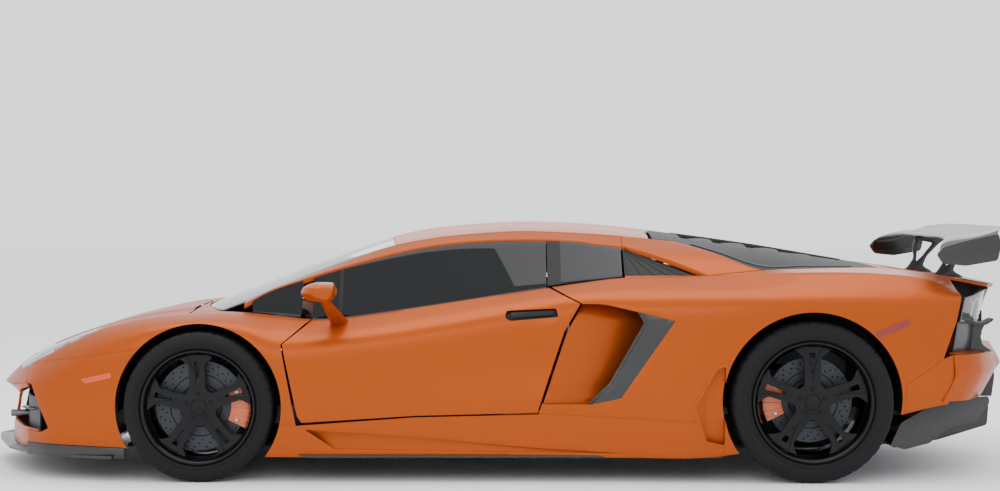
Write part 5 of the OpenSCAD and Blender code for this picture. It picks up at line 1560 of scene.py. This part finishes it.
def seats():
    for label, y in seat["middles"].items():
        base = cushion("seatBase", [(0, 980, 262, 128, 34), (0.3, 1060, 268, 140, 38),
            (1, 1396, 240, 140, 34)], y, across=(0.25, 0.4, 0.55, 0.7), along=(-92, 92))
        back = cushion("seatBack", [(0, 1404, 300, 132, 24), (0.5, 1450, 560, 134, 27),
            (1, 1508, 858, 104, 24)], y, across=(0.2, 0.34, 0.48, 0.62, 0.76), along=(-82, 82))
        head = cushion("seatHead", [(0, 1508, 884, 90, 18), (0.5, 1522, 940, 98, 24),
            (1, 1536, 996, 84, 16)], y, across=(0.5,))
        wings, ribs = [], []
        for side in (-1, 1):
            wings.append(cushion("wing", [(0, 1010, 264, 28, 30), (0.5, 1180, 276, 34, 46),
                (1, 1392, 290, 32, 44)], y + side * 178, along=(0,)))
            ribs.append(cushion("rib", [(0, 1404, 352, 26, 34), (0.5, 1440, 560, 30, 44),
                (1, 1496, 800, 20, 26)], y + side * 162, along=(0,)))
        for name, piece, surface in (("seatBase", base, "hide"), ("seatBack", back, "hide"),
                ("seatHead", head, "hide"), ("seatBaseWings", joined("wings", *wings), "orangeHide"),
                ("seatBackWings", joined("ribs", *ribs), "orangeHide")):
            piece.name = name + label
            finished(piece, surface, edge=0, sharp=60)
        rows = []
        for t in spread(0, 1, 24):
            x, z, wide = 1436 + 116 * t ** 1.1, 262 + 690 * t, 196 - 76 * t * t
            rows.append([Vector((x - 34 * abs(u) ** 3, y + wide * u, z)) for u in spread(-1, 1, 20)])
        bowl = shell("seatShell", rows, dropped(rows, (-6, 0, 0)))
        tray = [[Vector((x, y + 206 * u, 196 + 30 * abs(u) ** 4 + (24 if x < 1000 else 0)))
            for u in spread(-1, 1, 20)] for x in spread(985, 1436, 12)]
        runners = [prism("runner", roundedOutline([(1000, 151), (1400, 151), (1400, 190), (1000, 190)],
            6), y + k - 8, y + k + 8) for k in (-150, 150)]
        whole = joined("seatShell" + label, bowl, shell("tray", tray, dropped(tray, (0, 0, -6))), *runners)
        finished(whole, "carbon", edge=1.5, replaces=["seats"] if label == "Left" else ())


dash = {"from": -598, "to": 598, "vents": (-560, -190, 190, 560), "ventR": 34, "knobs": 5}


def consoleAt(t):  # station and height of the console's top
    return 480 + 1010 * t, 556 - 236 * t ** 0.8


def dashboard():
    loops = []
    for y in spread(dash["from"], dash["to"], 60):
        hood = 14 * math.exp(-((y + 370) / 170) ** 4)
        dip = 10 * math.exp(-((y - 370) / 160) ** 4)
        side = [(454, 610), (456, 672), (480, 688), (560, 696 + hood * 0.6), (640, 692 + hood),
            (684 + hood, 684 + hood), (698 + hood * 0.4, 668), (690 - dip, 640), (676 - dip, 612),
            (650, 580), (590, 566), (500, 580)]
        loops.append([Vector((p.x, y, p.y)) for p in roundedOutline(side, 22, 3)])
    body = loft("dashBody", loops)
    loops = []
    for t in spread(0, 1, 40):
        x, top = consoleAt(t)
        wide = 108 - 30 * t
        side = [(-wide, 152), (wide, 152), (wide, top - 26), (wide - 22, top), (-wide + 22, top),
            (-wide, top - 26)]
        loops.append([Vector((x, p.x, p.y)) for p in roundedOutline(side, 16, 3)])
    console = loft("console", loops)
    tilt = Vector((math.cos(math.radians(24)), 0, math.sin(math.radians(24))))
    housing = lathe("columnHousing", [(13, -170), (34, -170), (40, -150), (40, -50), (34, -32),
        (13, -32)], (800, -370, 700), tilt, 48)
    finished(joined("dashboard", body, console, housing), "hide", edge=0, sharp=50, replaces=["dashboard"])
    seams = []
    for y in (-236, 236):
        thread = [[Vector((x, y + k, z + 1.6)) for k in (-1.6, 1.6)]
            for x, z in ((500, 690), (560, 697), (640, 694), (680, 684))]
        seams.append(shell("seam", thread, dropped(thread, (0, 0, -3.6))))
    finished(joined("dashStitching", *seams), "orangeHide", edge=0)
    rings, blades = [], []
    for y in dash["vents"]:
        rings.append(lathe("ring", [(dash["ventR"] - 5, -8), (dash["ventR"], -8),
            (dash["ventR"] + 2, 2), (dash["ventR"], 8), (dash["ventR"] - 5, 6)], (694, y, 645),
            (1, 0, -0.25), 6))
        for k in (-1, 0, 1):
            blades.append(prism("slat", [(686, 640 + 14 * k), (702, 644 + 14 * k), (702, 647 + 14 * k),
                (686, 643 + 14 * k)], y - 27, y + 27))
    finished(joined("ventRings", *rings), "bright", edge=1)
    finished(joined("ventSlats", *blades), "plastic", edge=0.5)
    screen = prism("screen", roundedOutline([(-92, 598), (92, 598), (104, 676), (-104, 676)], 10), 690,
        706, "x")
    clocks = roundedOutline([(-470, 622), (-270, 622), (-256, 676), (-484, 676)], 14)
    binnacle = prism("binnacle", clocks, 690, 708, "x")
    finished(joined("dashScreens", screen, binnacle), "rim", edge=1.5)
    rows = []
    for t in spread(0.02, 0.62, 20):
        x, top = consoleAt(t)
        wide = 70 - 20 * t
        rows.append([Vector((x, wide * u, top + 3 - 1.5 * u * u)) for u in spread(-1, 1, 10)])
    finished(shell("consolePlate", rows, dropped(rows, (0, 0, -5))), "carbon", edge=1)
    knobs = []
    for k in range(dash["knobs"]):
        x, top = consoleAt(0.16 + 0.09 * k)
        sides = 6 if k == 2 else 32
        knobs.append(lathe("knob", [(0.4, 0), (15, 0), (15, 6), (12, 9), (0.4, 10)], (x, 0, top + 2),
            (0.24, 0, 1), sides))
    finished(joined("consoleKnobs", *knobs), "bright", edge=0.8)


wheelGrip = {"at": (800, -370, 700), "tilt": 24, "radius": 165, "thick": 14, "flat": 150, "shaftR": 12}


def steeringWheel():
    turn = Matrix.Rotation(math.radians(90 - wheelGrip["tilt"]), 3, "Y")
    centre = Vector(wheelGrip["at"])

    def place(x, y, z):
        return centre + turn @ Vector((x, y, z))

    count, size = 120, 20
    points = []
    for i in range(count):
        a = 2 * math.pi * i / count
        reach = wheelGrip["radius"]
        if math.cos(a) > 0.8:
            reach = min(reach, wheelGrip["flat"] / math.cos(a))
        swell = 1 + 0.12 * math.exp(-((abs(math.degrees(a) - 180) - 95) / 16) ** 2)
        for j in range(size):
            b = 2 * math.pi * j / size
            r = reach + wheelGrip["thick"] * swell * 0.95 * math.cos(b)
            points.append(place(r * math.cos(a), r * math.sin(a), wheelGrip["thick"] * 0.9 * math.sin(b)))
    grip = newMesh("grip", points, bandFaces(count, size, closed=True))
    axis = turn @ Vector((0, 0, 1))
    pad = lathe("pad", [(0.5, -8), (44, -8), (50, -2), (50, 6), (42, 13), (20, 16), (0.5, 16)], centre,
        axis, 48)
    shaft = lathe("shaft", [(0.5, -120), (wheelGrip["shaftR"], -120), (wheelGrip["shaftR"], -6),
        (0.5, -6)], centre, axis, 32)
    finished(joined("steeringWheel", grip, pad, shaft), "hide", "steering_wheel", edge=0, sharp=50,
        replaces=["steering_wheel"])
    spokes = []
    for degrees in (0, 80, -80):
        a = math.radians(degrees)
        ahead, aside = Vector((math.cos(a), math.sin(a))), Vector((-math.sin(a), math.cos(a)))
        loops = []
        for t in spread(0, 1, 8):
            r, wide = 38 + 116 * t, 20 - 9 * math.sin(math.pi * t)
            loops.append([place(ahead.x * r + aside.x * w, ahead.y * r + aside.y * w, h - 4 * t)
                for w, h in ((-wide, -3), (wide, -3), (wide, 3), (wide * 0.4, 6), (-wide * 0.4, 6),
                (-wide, 3))])
        spokes.append(loft("spoke", loops))
    finished(joined("wheelSpokes", *spokes), "carbon", "steering_wheel", edge=1)


seats()
dashboard()
steeringWheel()
print("cabin built")

# Engine, seen through the slats of its cover.
motor = {"runners": 6, "first": 1840, "pitch": 104, "ribs": 9}


def engine():
    blockShape = [(-338, 300), (-250, 202), (250, 202), (338, 300), (338, 560), (250, 640),
        (-250, 640), (-338, 560)]
    boxShape = [(-170, -150), (170, -150), (188, -60), (188, 100), (120, 168), (-120, 168),
        (-188, 100), (-188, -60)]
    loops = [[Vector((x, p.x, p.y)) for p in roundedOutline(blockShape, 26)]
        for x in (1731, 1760, 1762, 2520, 2522, 2559)]
    box = [[Vector((x, p.x * w, 390 + p.y * w)) for p in roundedOutline(boxShape, 24)]
           for x, w in ((2560, 1), (2700, 0.98), (2860, 0.86), (3000, 0.8), (3099, 0.7))]
    ribs = [prism("rib",
        roundedOutline([(-192 * w, 392 - 150 * w), (192 * w, 392 - 150 * w), (192 * w, 392 + 140 * w),
        (-192 * w, 392 + 140 * w)], 50 * w), x, x + 7, "x")
        for x, w in ((2620 + 56 * k, 0.985 - 0.034 * k) for k in range(motor["ribs"] - 1))]
    finished(joined("engineBlock", loft("block", loops), loft("gearbox", box), *ribs), "cast", edge=3,
        replaces=["engine"])
    covers, bolts = [], []
    for side in (-1, 1):
        loops = []
        for x in spread(1780, 2500, 30):
            step = 3 if int((x - 1780) / 24) % 2 else 0
            side0 = [(150, 640), (300, 596), (318, 640), (300, 690 - step), (200, 712 - step),
                (158, 700 - step)]
            loops.append([Vector((x, side * p.x, p.y)) for p in roundedOutline(side0, 12)])
        covers.append(loft("camCover", loops))
        for k in range(7):
            bolts.append(lathe("bolt", [(0.4, 0), (8, 0), (8, 5), (0.4, 6)],
                (1800 + 112 * k, side * 306, 664), (0, side * 0.9, 0.4), 6))
    finished(joined("camCovers", *covers), "caliper", edge=1.5)
    finished(joined("camBolts", *bolts), "bright", edge=0.6)
    plenumShape = [(-96, 648), (96, 648), (104, 690), (80, 719), (-80, 719), (-104, 690)]
    plenum = loft("plenum", [[Vector((x, p.x * w, p.y)) for p in roundedOutline(plenumShape, 16)]
        for x, w in ((1790, 0.8), (1830, 1), (2440, 1), (2480, 0.8))])
    tubes = []
    for k in range(motor["runners"]):
        for side in (-1, 1):
            loops = []
            for t in spread(0, 1, 10):
                y, z = side * (92 + 84 * t), 684 + 16 * math.sin(math.pi * t) - 6 * t
                loops.append([Vector((motor["first"] + motor["pitch"] * k + 22 * math.cos(a), y,
                    z + 14 * math.sin(a))) for a in spread(0, 2 * math.pi, 16)[:-1]])
            tubes.append(loft("runner", loops))
    finished(joined("intakeManifold", plenum, *tubes), "carbon", edge=1.5)


engine()
print("engine built")

# Nodes of the frame that stay as they are get their finishes here.
kept = {
    "tub": "carbon", "luggage_tub": "plastic", "front_frame": "cast", "rear_frame": "cast",
    "underfloor": "plastic", "wheel_liners": "plastic", "front_arms": "steel", "rear_arms": "steel",
    "rear_knuckles": "cast",
    "front_knuckle_left": "cast", "front_knuckle_right": "cast",
}
for node, surface in kept.items():
    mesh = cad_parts[node].data
    mesh.materials.clear()
    mesh.materials.append(finish[surface])
    if "knuckle" not in node:
        continue
    mesh.materials.append(finish["caliper"])  # the caliper is the outer sector of each carrier
    which = "rear" if node.startswith("rear") else "front"
    size, disc = wheels[which], frontAxle.x + wheels[which]["x"] * mm
    for face in mesh.polygons:
        x, z = face.center.x - disc, face.center.z - size["tyreR"] * mm
        reach, angle = math.hypot(x, z), abs(math.degrees(math.atan2(z, x)))
        angle = angle if size["turn"] == 0 else 180 - angle
        face.material_index = 1 if reach > 0.118 and angle < 27 else 0
print("kept nodes finished")
